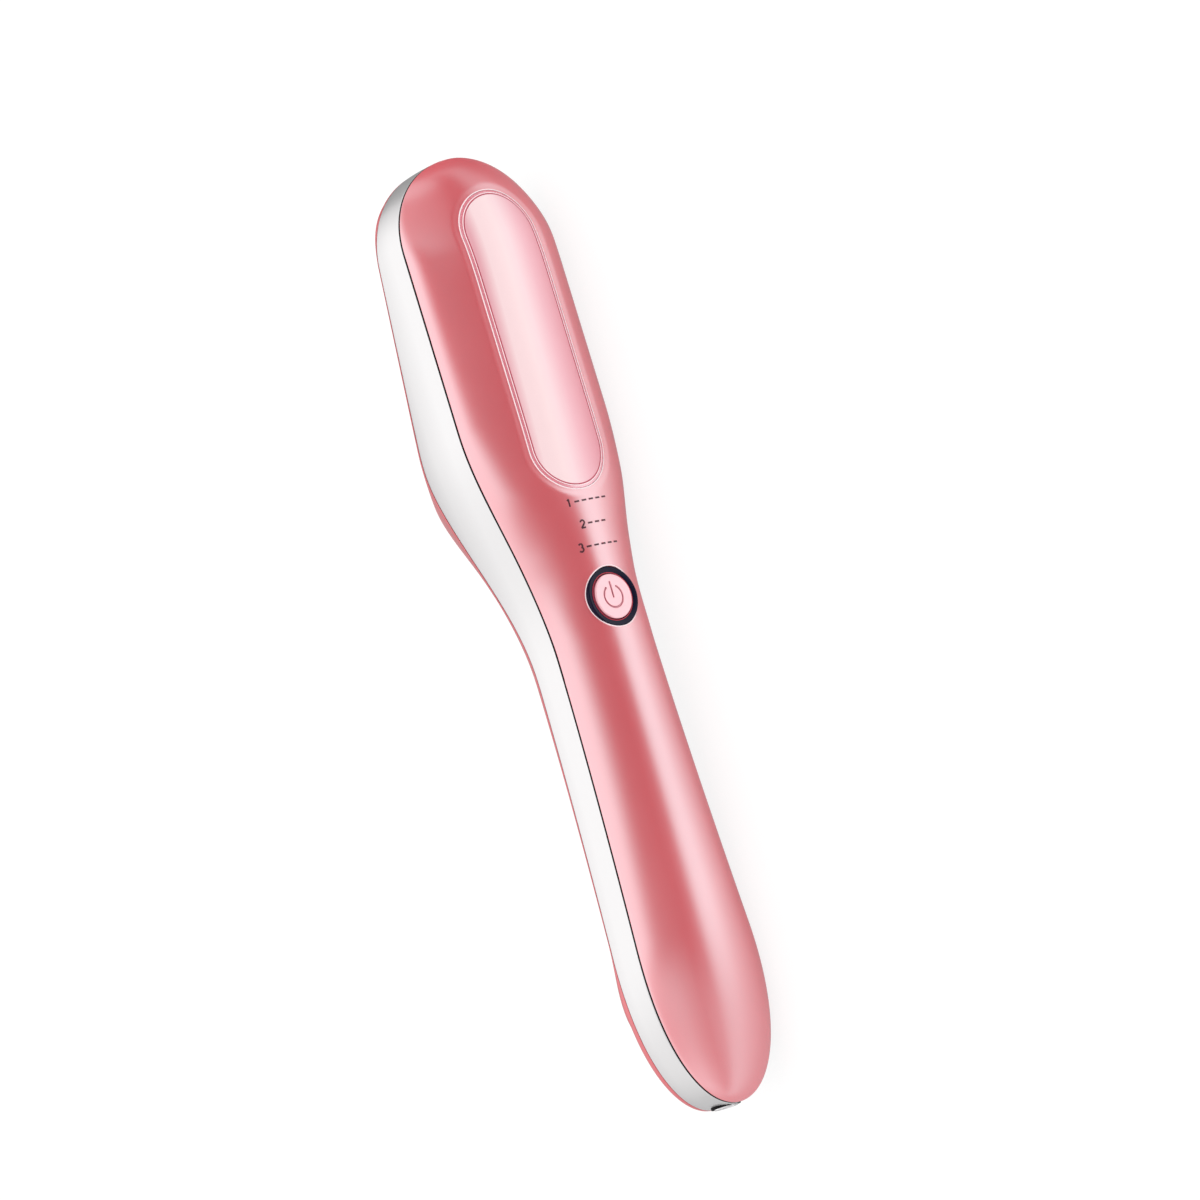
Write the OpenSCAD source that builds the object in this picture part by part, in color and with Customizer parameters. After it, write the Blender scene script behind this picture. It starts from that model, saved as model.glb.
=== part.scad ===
// Handheld plasma skin wand: a slim handle, a raised heel at the neck and a flat head with a
// ceramic strip on its back. It is drawn along +Y from the tail to the head, with the button
// side facing +Z, and is then laid on the flank of its side band.

/* [Outline] */
// Length from the tail tip to the head tip
length = 190; // [186:1:204]
// Width of the head
head_w = 35.6; // [34:0.1:38]
// Width of the handle at its waist
waist_w = 22.8; // [22:0.1:25]
// Width that the handle would flare to at the tail tip
tail_w = 31.8; // [29:0.1:34]
// How sharply the handle flares, 2 is a parabola
flare_power = 1.55; // [1.5:0.05:2.2]
// Length of the straight head, from the shoulder to the tip
head_l = 53; // [52:0.5:56]
// Length of the neck, from the waist to the shoulder
neck_l = 47; // [45:0.5:49]
// Length over which the tail rounds off
tail_cap = 33; // [30:0.5:36]
// Roundness of the tail, 2 is an ellipse
tail_power = 2.05; // [2:0.05:2.6]
// Length over which the head rounds off
head_cap = 17.5; // [16.5:0.1:19]
// Roundness of the head, 2 is an ellipse
head_power = 2.13; // [2:0.01:2.5]

/* [Front cover] */
// Height of the crown over the handle
handle_crown = 8.5; // [8.2:0.1:9.5]
// Height of the crown over the head
head_crown = 9.5; // [9.2:0.1:11]
// Length over which the crown falls to the head tip
tip_fall = 26; // [24:1:30]
// How much leaner than an ellipse the section is at the neck, 0.5 is a parabola
neck_lean = 0.2; // [0:0.05:0.3]
// How much leaner than an ellipse the section is at the head tip
tip_lean = 0.45; // [0:0.05:0.5]
// Wall of the moulded shells
wall = 1.8; // [1.4:0.1:2]

/* [Seam] */
// Height of the seam along the handle above the wand's middle plane
seam_handle = 0.65; // [0.3:0.05:0.8]
// Height of the seam round the head
seam_head = -0.4; // [-0.5:0.05:0]
// Height of the seam at the tail tip
seam_tail = 0.3; // [0:0.05:0.6]

/* [Side band] */
// Depth of the plated band along the handle
handle_band = 7.4; // [6.9:0.1:8.2]
// Depth that the band rises to at the heel
heel_band = 14.8; // [14:0.1:16.4]
// Depth of the band at the head tip
tip_band = 6.9; // [6.5:0.1:8.4]
// Growth of the band's depth per mm from the head tip
band_slope = 0.131; // [0.1:0.001:0.15]
// Wall of the plated band
band_wall = 1.2; // [0.9:0.05:1.3]
// Height of the seam gasket between the band and the front cover
gasket_h = 0.4; // [0.3:0.05:0.6]

/* [Back shell] */
// Depth of the back of the handle behind the seam
handle_back = 15.1; // [15:0.1:16.5]
// Depth that the back rises to at the heel
heel_back = 22.9; // [22.6:0.1:23.6]
// Depth of the head's back at the middle of the emitter
head_back = 18.05; // [17.6:0.05:19]
// Tilt of the head's back
head_tilt = 10; // [9:0.1:11]
// Roundness of the shoulders beside the plate, 1 is a chamfer and 2 an ellipse
shoulder_power = 1.05; // [1.05:0.05:1.6]

/* [Back plate] */
// Half width of the plate along the handle
plate_half = 5; // [4.6:0.1:5.6]
// Half width of the plate on the head
plate_head_half = 11; // [10.6:0.1:11.6]
// Thickness of the plate
plate_t = 1.2; // [1:0.1:1.4]
// Thickness of the shell's floor under the plate
floor_t = 1.6; // [1.2:0.1:1.8]
// Distance of the plate's end from the tail tip
plate_tail_y = 20; // [18:0.5:23]
// Distance of the plate's end from the head tip
plate_head_gap = 5.4; // [4.8:0.1:6.5]
// Length over which the plate rounds off at the tail
plate_cap = 13; // [10:0.5:15]

/* [Emitter] */
// Distance of the middle of the emitter from the head tip
emitter_from_tip = 37; // [36.5:0.1:38]
// Length between the centres of the slot's two round ends
slot_run = 40; // [37:0.5:41]
// Radius of the slot's round ends
slot_r = 3.7; // [3.2:0.1:4]
// Radius of the raised rim's round ends
rim_r = 6.05; // [5.8:0.05:6.4]
// Height of the rim above the plate
rim_h = 1; // [0.6:0.1:1.4]
// Thickness of the ceramic strip
ceramic_t = 1; // [0.8:0.1:1.1]
// How far the ceramic reaches under the rim's lip
ceramic_lap = 0.8; // [0.5:0.1:1]
// Thickness of the electrode strip
electrode_t = 0.3; // [0.2:0.05:0.5]
// Thickness of the holder's flange
flange_t = 1.2; // [1:0.1:1.5]

/* [Window] */
// Distance of the middle of the window from the head tip
window_from_tip = 39; // [38.5:0.1:40]
// Length between the centres of the window's round ends
window_run = 42.8; // [40:0.2:43.4]
// Radius of the window's round ends
window_r = 9.1; // [8.6:0.1:9.4]
// Thickness of the window
window_t = 1; // [0.8:0.1:1.1]
// Width of the ledge that the window lies on
window_ledge = 1.3; // [1:0.1:1.6]

/* [Button] */
// Distance of the button from the handle's waist towards the head
button_from_waist = 9; // [8.6:0.1:9.6]
// Outer radius of the ring round the button
ring_r = 5.95; // [5.6:0.05:6.3]
// Radius of the button cap
cap_r = 4.45; // [4.2:0.05:4.6]
// Height of the ring's face above the seam
ring_top = 8.35; // [8.2:0.05:9]
// How far the button travels
travel = 0.4; // [0.25:0.05:0.5]
// Running clearance round the cap
cap_gap = 0.1; // [0.06:0.01:0.15]
// Depth of the grooves of the power symbol
symbol_depth = 0.25; // [0.15:0.05:0.35]

/* [Charging socket] */
// Radius of the socket's opening
jack_r = 1.8; // [1.6:0.05:1.9]
// Outer radius of the bright eyelet round the opening
eyelet_r = 2.5; // [2.4:0.05:2.7]
// Depth of the socket's opening
jack_depth = 8; // [6:0.5:8.5]
// Radius of the socket's centre pin
jack_pin_r = 0.55; // [0.4:0.05:0.65]

/* [Battery] */
// Diameter of the round cell
cell_d = 14; // [13:0.1:14.2]
// Length of the round cell
cell_l = 50; // [46:0.5:50.5]

/* [Boards] */
// Thickness of the circuit boards
board_t = 1.2; // [1:0.1:1.6]
// Length of the main board
main_board_l = 21; // [19:0.5:21.5]
// Width of the main board
main_board_w = 17; // [15:0.5:18]
// Number of lights under the window
light_count = 4; // [2:1:5]

/* [Screws] */
// Radius of the screw shank
screw_r = 1; // [0.9:0.05:1.1]
// Length of the screw shank
screw_l = 12; // [11:0.5:12.5]
// Radius of the screw head
screw_head_r = 1.9; // [1.7:0.05:2]

/* [Hidden] */
$fn = 48;

// Clearances between pieces that are fitted to each other, and between parts that stand free
fit_gap = 0.1;
inlay_gap = 0.15;
seat_gap = 0.05;
facet_gap = 0.02;
free_gap = 0.3;

// Steps of the lofted surfaces
cap_steps = 9;
mid_steps = 28;
crown_steps = 14;
shoulder_steps = 6;

// Places along the length
shoulder_y = length - head_l;
waist_y = shoulder_y - neck_l;
heel_before_shoulder = 8;
heel_y = shoulder_y - heel_before_shoulder;
emitter_y = length - emitter_from_tip;
window_y = length - window_from_tip;
button_y = waist_y + button_from_waist;
plate_head_y = length - plate_head_gap;
flare_before_shoulder = 34;
plate_neck_y = shoulder_y - flare_before_shoulder;
flare_l = 30;
plate_wide_y = plate_neck_y + flare_l;
band_before_waist = 4;
band_rise_y = waist_y - band_before_waist;
back_before_waist = 2;
back_rise_y = waist_y - back_before_waist;
band_top_y = shoulder_y + 1;
seam_before_shoulder = 29;
seam_turn_y = shoulder_y - seam_before_shoulder;
seam_turn_l = 28;
lean_after_waist = 2;
lean_y = waist_y + lean_after_waist;
lean_ramp = 14;
lean_stay = 18;
tip_lean_before = 20;
tip_lean_l = 17;

// How softly the lines of the band and the back pass into each other
band_soft = 0.5;
back_soft = 0.4;

// Exponents of the sections: an ellipse, and the shoulders beside the plate's round ends
ellipse = 0.5;
end_power = 1.6;

function ramp(t) = let(c = min(max(t, 0), 1)) c * c * (3 - 2 * c);
function unit_cap(t, power) = sqrt(max(0, 1 - pow(min(max(t, 0), 1), power)));
function soft_min(a, b, k) = -k * ln(exp(-a / k) + exp(-b / k));
function unit(v) = v / norm(v);

// Outline: half width at a distance from the tail
function end_factor(y) =
    unit_cap((tail_cap - y) / tail_cap, tail_power)
    * unit_cap((y - length + head_cap) / head_cap, head_power);
function body_half(y) =
    waist_w / 2
    + (tail_w - waist_w) / 2 * pow(max(0, waist_y - y) / waist_y, flare_power)
    + (head_w - waist_w) / 2 * ramp((y - waist_y) / neck_l);
function half_width(y) = body_half(y) * end_factor(y);

// Crown of the front: its height, how it ends, and the exponent of its section
function crown(y) = handle_crown + (head_crown - handle_crown) * ramp((y - waist_y) / neck_l);
function crown_end(y) =
    unit_cap((tail_cap - y) / tail_cap, tail_power)
    * unit_cap((y - length + tip_fall) / tip_fall, 2);
function leanness(y) =
    ellipse
    + neck_lean * ramp((y - lean_y) / lean_ramp) * ramp((lean_y + lean_stay + lean_ramp - y) / lean_ramp)
    + tip_lean * ramp((y - length + tip_lean_before) / tip_lean_l);

// Height of the seam, depth of the band and depth of the back
function seam_z(y) =
    seam_handle
    + (seam_head - seam_handle) * ramp((y - seam_turn_y) / seam_turn_l)
    + (seam_tail - seam_handle) * ramp(1 - y / tail_cap);
function band_depth(y) = soft_min(
    handle_band + (heel_band - handle_band) * ramp((y - band_rise_y) / (band_top_y - band_rise_y)),
    tip_band + band_slope * (length - y), band_soft);
function back_line(y) = head_back - tan(head_tilt) * (y - emitter_y);
function back_depth(y) = soft_min(
    handle_back + (heel_back - handle_back) * ramp((y - back_rise_y) / (heel_y - back_rise_y)),
    back_line(y), back_soft);
function nose_factor(y) =
    unit_cap((plate_tail_y - y) / plate_tail_y, 2)
    * unit_cap((y - plate_head_y) / (length - plate_head_y), 2);
function plate_side(y) =
    plate_half
    + (plate_head_half - plate_half) * ramp((y - plate_neck_y) / (plate_wide_y - plate_neck_y));
function plate_share(y) =
    unit_cap((plate_tail_y + plate_cap - y) / plate_cap, 2)
    * unit_cap((y - plate_head_y + plate_head_half) / plate_head_half, 2);
function plate_edge(y) = plate_side(y) * plate_share(y);
function shoulder_at(y) = end_power - (end_power - shoulder_power) * plate_share(y);

// Stations along the length, closer together where the ends round off
ys = concat(
    [for (i = [0 : cap_steps - 1]) tail_cap * (1 - cos(90 * i / cap_steps))],
    [for (i = [0 : mid_steps]) tail_cap + (length - tail_cap - head_cap) * i / mid_steps],
    [for (i = [1 : cap_steps]) length - head_cap + head_cap * sin(90 * i / cap_steps)]);
last = len(ys) - 1;
xs = [for (y = ys) half_width(y)];
outward = [for (i = [0 : last])
    i == 0 ? [0, -1] : i == last ? [0, 1]
    : unit([ys[i + 1] - ys[i - 1], xs[i - 1] - xs[i + 1]])];
function side_x(i, inset) = xs[i] - inset * outward[i][0];
function side_y(i, inset) = ys[i] - inset * outward[i][1];
function outline(inset) = concat(
    [for (i = [0 : last]) [side_x(i, inset), side_y(i, inset)]],
    [for (i = [last - 1 : -1 : 1]) [-side_x(i, inset), side_y(i, inset)]]);

// A closed solid through rows of points, with a tip or a flat face at each end
module loft(rows, tips = []) {
    n = len(rows);
    k = len(rows[0]);
    tail_at = n * k;
    head_at = tail_at + 1;
    sides = [for (i = [0 : n - 2], j = [0 : k - 1])
        let(a = i * k + j, b = i * k + (j + 1) % k) each [[a, a + k, b + k], [a, b + k, b]]];
    row_end = (n - 1) * k;
    tail_face = len(tips) == 0 ? [[for (j = [0 : k - 1]) j]]
        : [for (j = [0 : k - 1]) [tail_at, j, (j + 1) % k]];
    head_face = len(tips) == 0 ? [[for (j = [k - 1 : -1 : 0]) row_end + j]]
        : [for (j = [0 : k - 1]) [row_end + j, head_at, row_end + (j + 1) % k]];
    polyhedron(
        points = concat([for (row = rows) each row], tips),
        faces = concat(sides, tail_face, head_face));
}

// Front seen from the end: a crown over the seam, elliptic or leaner
function crown_row(i, inset, skirt) =
    let(
        x = side_x(i, inset),
        y = side_y(i, inset),
        low = seam_z(ys[i]),
        h = (crown(ys[i]) - inset) * crown_end(ys[i]) - low,
        lean = leanness(ys[i]))
    concat(
        [for (j = [0 : crown_steps])
            let(a = -90 + 180 * j / crown_steps)
            [x * sin(a), y, low + h * pow(max(0, cos(a)), 2 * lean)]],
        skirt > 0 ? [[x, y, -skirt], [-x, y, -skirt]] : []);
module front_body() {
    loft([for (i = [1 : last - 1]) crown_row(i, 0, 0)],
        [[0, 0, seam_z(0)], [0, length, seam_z(length)]]);
}
module front_core(inset) {
    loft([for (i = [1 : last - 1]) crown_row(i, inset, 1)]);
}
function crown_z(x, y) =
    seam_z(y)
    + (crown(y) * crown_end(y) - seam_z(y))
        * pow(max(0, 1 - pow(x / half_width(y), 2)), leanness(y));

// Back of the section: flat under the plate, with a rounded shoulder down to the band
function back_row(i, inset, floor_inset, top) =
    let(
        x = side_x(i, inset),
        y = side_y(i, inset),
        flat = plate_edge(ys[i]) * (x / max(xs[i], 0.01)),
        low = band_depth(ys[i]),
        high = low + (back_depth(ys[i]) - floor_inset - low) * nose_factor(ys[i]),
        power = shoulder_at(ys[i]),
        half = [for (j = [0 : shoulder_steps])
            let(a = 90 * j / shoulder_steps)
            [flat + (x - flat) * pow(cos(a), 2 / power),
             low + (high - low) * pow(sin(a), 2 / power)]])
    concat(
        [for (p = half) [p[0], y, -p[1]]],
        [for (j = [shoulder_steps : -1 : 0]) [-half[j][0], y, -half[j][1]]],
        top > low ? [] : [[-x, y, -top], [x, y, -top]]);
module back_body() {
    loft([for (i = [1 : last - 1]) back_row(i, 0, 0, 1000)],
        [[0, 0, -band_depth(0)], [0, length, -band_depth(length)]]);
}
module back_core() {
    loft([for (i = [2 : last - 2]) back_row(i, wall, plate_t + floor_t, 0)]);
}
function back_z(x, y) =
    let(
        flat = plate_edge(y),
        low = band_depth(y),
        high = low + (back_depth(y) - low) * nose_factor(y),
        power = shoulder_at(y),
        run = min(max((abs(x) - flat) / (half_width(y) - flat), 0), 1))
    -(low + (high - low) * pow(1 - pow(run, power), 1 / power));

// A wall that follows the outline, from below the seam down to a level or to the band's back edge
module ring_wall(outer, inner, top, bottom = 0, on_band = false, over = 0) {
    out = outline(outer);
    inn = outline(inner);
    n = len(out);
    function seam_at(i) = seam_z(ys[min(i, n - i)]);
    function low(i, y) = on_band ? over - band_depth(y) : seam_at(i) - bottom;
    points = [for (i = [0 : n - 1]) each [
        [out[i][0], out[i][1], seam_at(i) - top], [inn[i][0], inn[i][1], seam_at(i) - top],
        [inn[i][0], inn[i][1], low(i, inn[i][1])], [out[i][0], out[i][1], low(i, out[i][1])]]];
    faces = [for (i = [0 : n - 1], j = [0 : 3])
        let(a = 4 * i + j, b = 4 * i + (j + 1) % 4,
            c = 4 * ((i + 1) % n) + (j + 1) % 4, d = 4 * ((i + 1) % n) + j)
        each [[a, b, c], [a, c, d]]];
    polyhedron(points = points, faces = faces);
}

// Slices of the back plate between its two rounded ends
plate_steps = 7;
plate_ys = concat(
    [for (i = [1 : plate_steps]) plate_tail_y + plate_cap * (1 - cos(90 * i / plate_steps))],
    [for (i = [1 : mid_steps]) plate_tail_y + plate_cap
        + (plate_head_y - plate_head_half - plate_tail_y - plate_cap) * i / mid_steps],
    [for (i = [1 : plate_steps - 1])
        plate_head_y - plate_head_half * (1 - sin(90 * i / plate_steps))]);
module plate_solid(inset, inner, outer) {
    loft([for (y = plate_ys)
        let(x = plate_edge(y) - inset, z = -back_depth(y))
        [[x, y, z - outer], [-x, y, z - outer], [-x, y, z + inner], [x, y, z + inner]]]);
}

// Round ended bar, and the frame of the head's back: Z out of the plate, Y towards the tip
module pill(r, run, h) {
    linear_extrude(h) {
        for (s = [-1, 1]) translate([0, s * run / 2]) circle(r);
        square([2 * r, run], center = true);
    }
}
module on_head() {
    translate([0, emitter_y, -back_line(emitter_y)])
        rotate([head_tilt, 0, 0]) rotate([0, 180, 0]) children();
}
module at_z(z) {
    translate([0, 0, z]) children();
}

// How the wand lies: on its right flank, touching at the head and at the tail
function flank_reach(m, from, to) =
    max([for (i = [0 : last]) if (ys[i] >= from && ys[i] <= to) xs[i] - m * ys[i]]);
function flank_slope(low, high, n) =
    let(m = (low + high) / 2)
    n == 0 ? m
    : flank_reach(m, waist_y, length) > flank_reach(m, 0, waist_y)
        ? flank_slope(m, high, n - 1) : flank_slope(low, m, n - 1);
lean = -atan(flank_slope(-0.1, 0.2, 24));
eyelet_proud = 0.2;
rest_xs = concat([-eyelet_proud * cos(lean)],
    [for (p = outline(0)) p[1] * cos(lean) - p[0] * sin(lean)]);
rest_drop = max([for (p = outline(0)) p[0] * cos(lean) + p[1] * sin(lean)]);
rest_deep = max([for (y = ys) back_depth(y)]);
rest_tall = max([for (y = ys) crown(y)]);
module laid() {
    translate([-(min(rest_xs) + max(rest_xs)) / 2, (rest_tall - rest_deep) / 2, rest_drop])
        rotate([90, 90 + lean, 0]) children();
}

// Levels of the inner parts, measured from the seam plane
frame_top = -1.6;
frame_t = 1.6;
frame_low = frame_top - frame_t;
frame_gap = 1.2;
board_low = 0.6;
board_top = board_low + board_t;

// Button stack, from the main board up
switch_w = 6;
switch_h = 2.4;
plunger_r = 1.6;
plunger_h = 0.9;
plunger_depth = 1;
switch_top = board_top + switch_h;
stem_r = 1.3;
stem_low = switch_top + plunger_h;
ring_h = 2.5;
ring_low = ring_top - ring_h;
flange_h = 0.6;
flange_lap = 0.6;
cap_proud = 0.1;
cap_top = ring_top + cap_proud;
symbol_r = 1.9;
symbol_w = 0.36;
symbol_bar = 2.3;
symbol_open = 70;

// Screws and the bosses that they join
boss_r = 2.4;
boss_skin = 0.3;
well_gap = 0.25;
well_wall = 0.75;
well_r = screw_head_r + well_gap;
back_boss_r = well_r + well_wall;
screw_head_h = 1.2;
screw_drive_r = 1;
screw_seat = -9.5;
neck_screw_x = 5.8;
screw_before_waist = 2;
screw_before_shoulder = 19;
waist_screw_y = waist_y - screw_before_waist;
neck_screw_y = shoulder_y - screw_before_shoulder;

// Battery, in a tray between the screws at the waist and at the tail
cell_r = cell_d / 2;
cell_pole_r = 2.8;
cell_pole_h = 1;
tray_wall = 0.9;
tray_end = 1.2;
tray_rise = 1;
tray_r = cell_r + fit_gap + tray_wall;
contact_t = 0.3;
contact_w = 8;
contact_drop = 3.5;
cell_z = -handle_back + plate_t + floor_t + seat_gap + tray_r;
cell_end = waist_screw_y - back_boss_r - free_gap - tray_end - contact_t;
cell_start = cell_end - cell_l;
tray_start = cell_start - contact_t - tray_end;
tail_screw_y = tray_start - free_gap - back_boss_r;
screws = [[0, tail_screw_y, frame_low], [0, waist_screw_y, frame_top],
    [-neck_screw_x, neck_screw_y, frame_top], [neck_screw_x, neck_screw_y, frame_top]];

// Wires beside the bosses of the screws
wire_r = 0.6;
wire_gap = 0.2;
wire_x = boss_r + wire_r + wire_gap;

// Main board, light board and what is on them
board_gap = 2.4;
main_board_y = waist_screw_y + boss_r + board_gap;
main_board_end = main_board_y + main_board_l;
chip_w = 6;
chip_h = 1.1;
coil_w = 8;
coil_l = 5;
coil_h = 1.4;
small_part = [1.4, 2, 0.8];
small_part_x = 6.3;
post_r = 1.2;
post_inset = 1.6;
guide_gap = 1.2;
guide_r = window_r - window_ledge - guide_gap;
guide_t = 1.6;
guide_leg_r = 0.8;
guide_leg_x = guide_r - guide_leg_r - free_gap;
light_w = 2.8;
light_l = 3.5;
light_h = 0.9;
guide_low = board_top + light_h + free_gap;
ribbon_w = 6;
ribbon_t = 0.3;
ribbon_lap = 2.5;

// Emitter stack, measured along the head's normal from the plate's face
ceramic_sink = 0.9;
ceramic_top = rim_h - ceramic_sink;
ceramic_low = ceramic_top - ceramic_t;
electrode_inset = 0.4;
holder_top = ceramic_low - electrode_t;
floor_low = -plate_t - floor_t;
heel_gap = 0.15;
flange_top = floor_low - heel_gap;
holder_low = flange_top - flange_t;
holder_rim = 1.1;
holder_r = rim_r + holder_rim;
holder_flange_w = 1.2;
holder_step = 0.6;
lead_r = 0.8;
lead_run = 9.6;

// Charging socket, from the tail tip inwards
port_drop = 0.2;
port_z = -handle_band / 2 - port_drop;
socket_w = 6.2;
socket_floor = 1;
socket_start = band_wall + fit_gap;
socket_end = socket_start + jack_depth + socket_floor;
block_gap = 2.4;
block_start = wall + block_gap;
pin_sink = 1;
pin_start = socket_start + pin_sink;
charge_board_t = 1;
charge_board_w = 8;
charge_board_top = port_z - socket_w / 2;
charge_board_low = charge_board_top - charge_board_t;
charge_board_gap = 3;
charge_board_end = tail_screw_y - back_boss_r - charge_board_gap;
charge_lead_z = frame_low + wire_r + fit_gap;
socket_post_y = (block_start + socket_end) / 2;
board_post_y = charge_board_end - charge_board_w / 4;

// High voltage block under the frame
block_w = 11.4;
block_l = 15;
block_h = 8.6;
block_after_waist = 8;
block_y = waist_y + block_after_waist;

// Lip of the back shell inside the band, and the posts beside the emitter
lip_t = 1;
lip_out = band_wall + inlay_gap;
lip_sink = 0.6;
head_post_x = 11.6;
head_post_r = 1.6;
post_after_shoulder = 28;
head_post_y = shoulder_y + post_after_shoulder;
boss_sink = 0.2;

module front_cover() {
    laid() color("#E08F98") difference() {
        union() {
            difference() {
                front_body();
                front_core(wall);
            }
            for (s = screws)
                translate(s)
                    cylinder(r = boss_r, h = crown_z(abs(s[0]) + boss_r, s[1]) - boss_skin - s[2]);
        }
        for (s = screws)
            translate([s[0], s[1], screw_seat])
                cylinder(r = screw_r + seat_gap, h = screw_l + 1);
        translate([0, button_y, 0]) cylinder(r = ring_r + fit_gap, h = 2 * ring_top);
        translate([0, window_y, 0]) pill(window_r - window_ledge, window_run, 2 * head_crown);
        difference() {
            at_window() pill(window_r, window_run, 2 * head_crown);
            front_core(window_t);
        }
    }
}

module at_window() {
    translate([0, window_y, board_top]) children();
}

module window_lens() {
    laid() color("#F6D3D8") difference() {
        intersection() {
            front_body();
            at_window() pill(window_r - inlay_gap, window_run, 2 * head_crown);
        }
        front_core(window_t);
    }
}

module light_guide() {
    laid() color("#F4F1EA") translate([0, window_y, 0]) {
        at_z(guide_low) pill(guide_r, window_run, guide_t);
        for (x = [-1, 1], y = [-1, 1])
            translate([x * guide_leg_x, y * window_run / 2, board_top])
                cylinder(r = guide_leg_r, h = guide_low - board_top);
    }
}

module window_lights() {
    laid() color("#FFF3C8") translate([-light_w / 2, window_y - light_l / 2, board_top])
        for (i = [0 : light_count - 1])
            translate([0, window_run * (i / (light_count - 1) - 0.5), 0])
                cube([light_w, light_l, light_h]);
}

module light_board() {
    laid() color("#EFEFEA")
        translate([0, window_y, board_low]) pill(guide_r, window_run, board_t);
}

module button_ring() {
    laid() color("#1C1F3A") translate([0, button_y, ring_low]) difference() {
        cylinder(r = ring_r, h = ring_h);
        at_z(-1) cylinder(r = cap_r + cap_gap, h = ring_h + 2);
    }
}

// Power symbol: a ring that is open towards the head, with a bar in its opening
module power_symbol() {
    rotate(90 + symbol_open / 2)
        rotate_extrude(angle = 360 - symbol_open)
            translate([symbol_r - symbol_w / 2, 0]) square([symbol_w, 1]);
    translate([-symbol_w / 2, 0, 0]) cube([symbol_w, symbol_bar, 1]);
}
module power_button() {
    laid() color("#F0B3BC") translate([0, button_y, 0]) difference() {
        union() {
            at_z(ring_low - flange_h) cylinder(r = cap_r + flange_lap, h = flange_h);
            at_z(ring_low - flange_h) cylinder(r = cap_r, h = cap_top - ring_low + flange_h);
            at_z(stem_low) cylinder(r = stem_r, h = ring_low - stem_low);
        }
        at_z(cap_top - symbol_depth) power_symbol();
    }
}

module switch_body() {
    laid() color("#2B2B2E") translate([0, button_y, board_top]) difference() {
        translate([-switch_w / 2, -switch_w / 2, 0]) cube([switch_w, switch_w, switch_h]);
        at_z(switch_h - plunger_depth - travel - fit_gap)
            cylinder(r = plunger_r + fit_gap, h = switch_h);
    }
}

module switch_plunger() {
    laid() color("#D9D9D6") translate([0, button_y, switch_top - plunger_depth])
        cylinder(r = plunger_r, h = plunger_h + plunger_depth);
}

module main_board() {
    laid() color("#2F7D4F") translate([-main_board_w / 2, main_board_y, board_low])
        cube([main_board_w, main_board_l, board_t]);
}

module board_components() {
    laid() color("#3A3A3D") {
        translate([-chip_w / 2, main_board_end - 1.4 * chip_w, board_top])
            cube([chip_w, chip_w, chip_h]);
        for (x = [-1, 1], row = [1 : 3])
            translate([x * small_part_x - small_part[0] / 2,
                main_board_end - 1.5 * small_part[1] * row, board_top]) cube(small_part);
        translate([-coil_w / 2, (main_board_y + main_board_end) / 2, board_low - coil_h])
            cube([coil_w, coil_l, coil_h]);
    }
}

// Flat ribbon that joins the two boards and lies on both
module light_ribbon() {
    start = main_board_end - ribbon_lap / 2;
    end = window_y - window_run / 2 - guide_r + ribbon_lap;
    laid() color("#C98A3C") translate([-ribbon_w / 2, start, board_top])
        cube([ribbon_w, end - start, ribbon_t]);
}

module posts(points, low, high) {
    for (p = points) translate([p[0], p[1], low]) cylinder(r = post_r, h = high - low);
}
main_posts = [for (x = [-1, 1], y = [main_board_y + post_inset, main_board_end - post_inset])
    [x * (main_board_w / 2 - post_inset), y]];
light_posts = [for (x = [-1, 1], y = [-1, 1])
    [x * (guide_r - post_inset), window_y + y * window_run / 2]];
frame_start = waist_screw_y - back_boss_r;
module inner_frame() {
    laid() color("#E9E9EC") {
        at_z(frame_low) linear_extrude(frame_t) difference() {
            intersection() {
                polygon(outline(wall + frame_gap));
                translate([-head_w, frame_start]) square([2 * head_w, length]);
            }
            for (s = screws) translate([s[0], s[1]]) circle(screw_r + fit_gap);
        }
        posts(concat(main_posts, light_posts), frame_top - 0.01, board_low);
    }
}

gasket_inset = 0.12;
module seam_gasket() {
    laid() color("#1D1A1C")
        ring_wall(gasket_inset, band_wall + fit_gap, facet_gap, gasket_h - facet_gap);
}

// Hole through the tail tip, along the socket's axis
module along_socket(from) {
    translate([0, from, port_z]) rotate([-90, 0, 0]) children();
}

module side_band() {
    laid() color("#DCDCDE") difference() {
        ring_wall(0, band_wall, gasket_h, 0, true, seat_gap);
        along_socket(-1) cylinder(r = eyelet_r + seat_gap, h = block_start + 1);
    }
}

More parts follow.
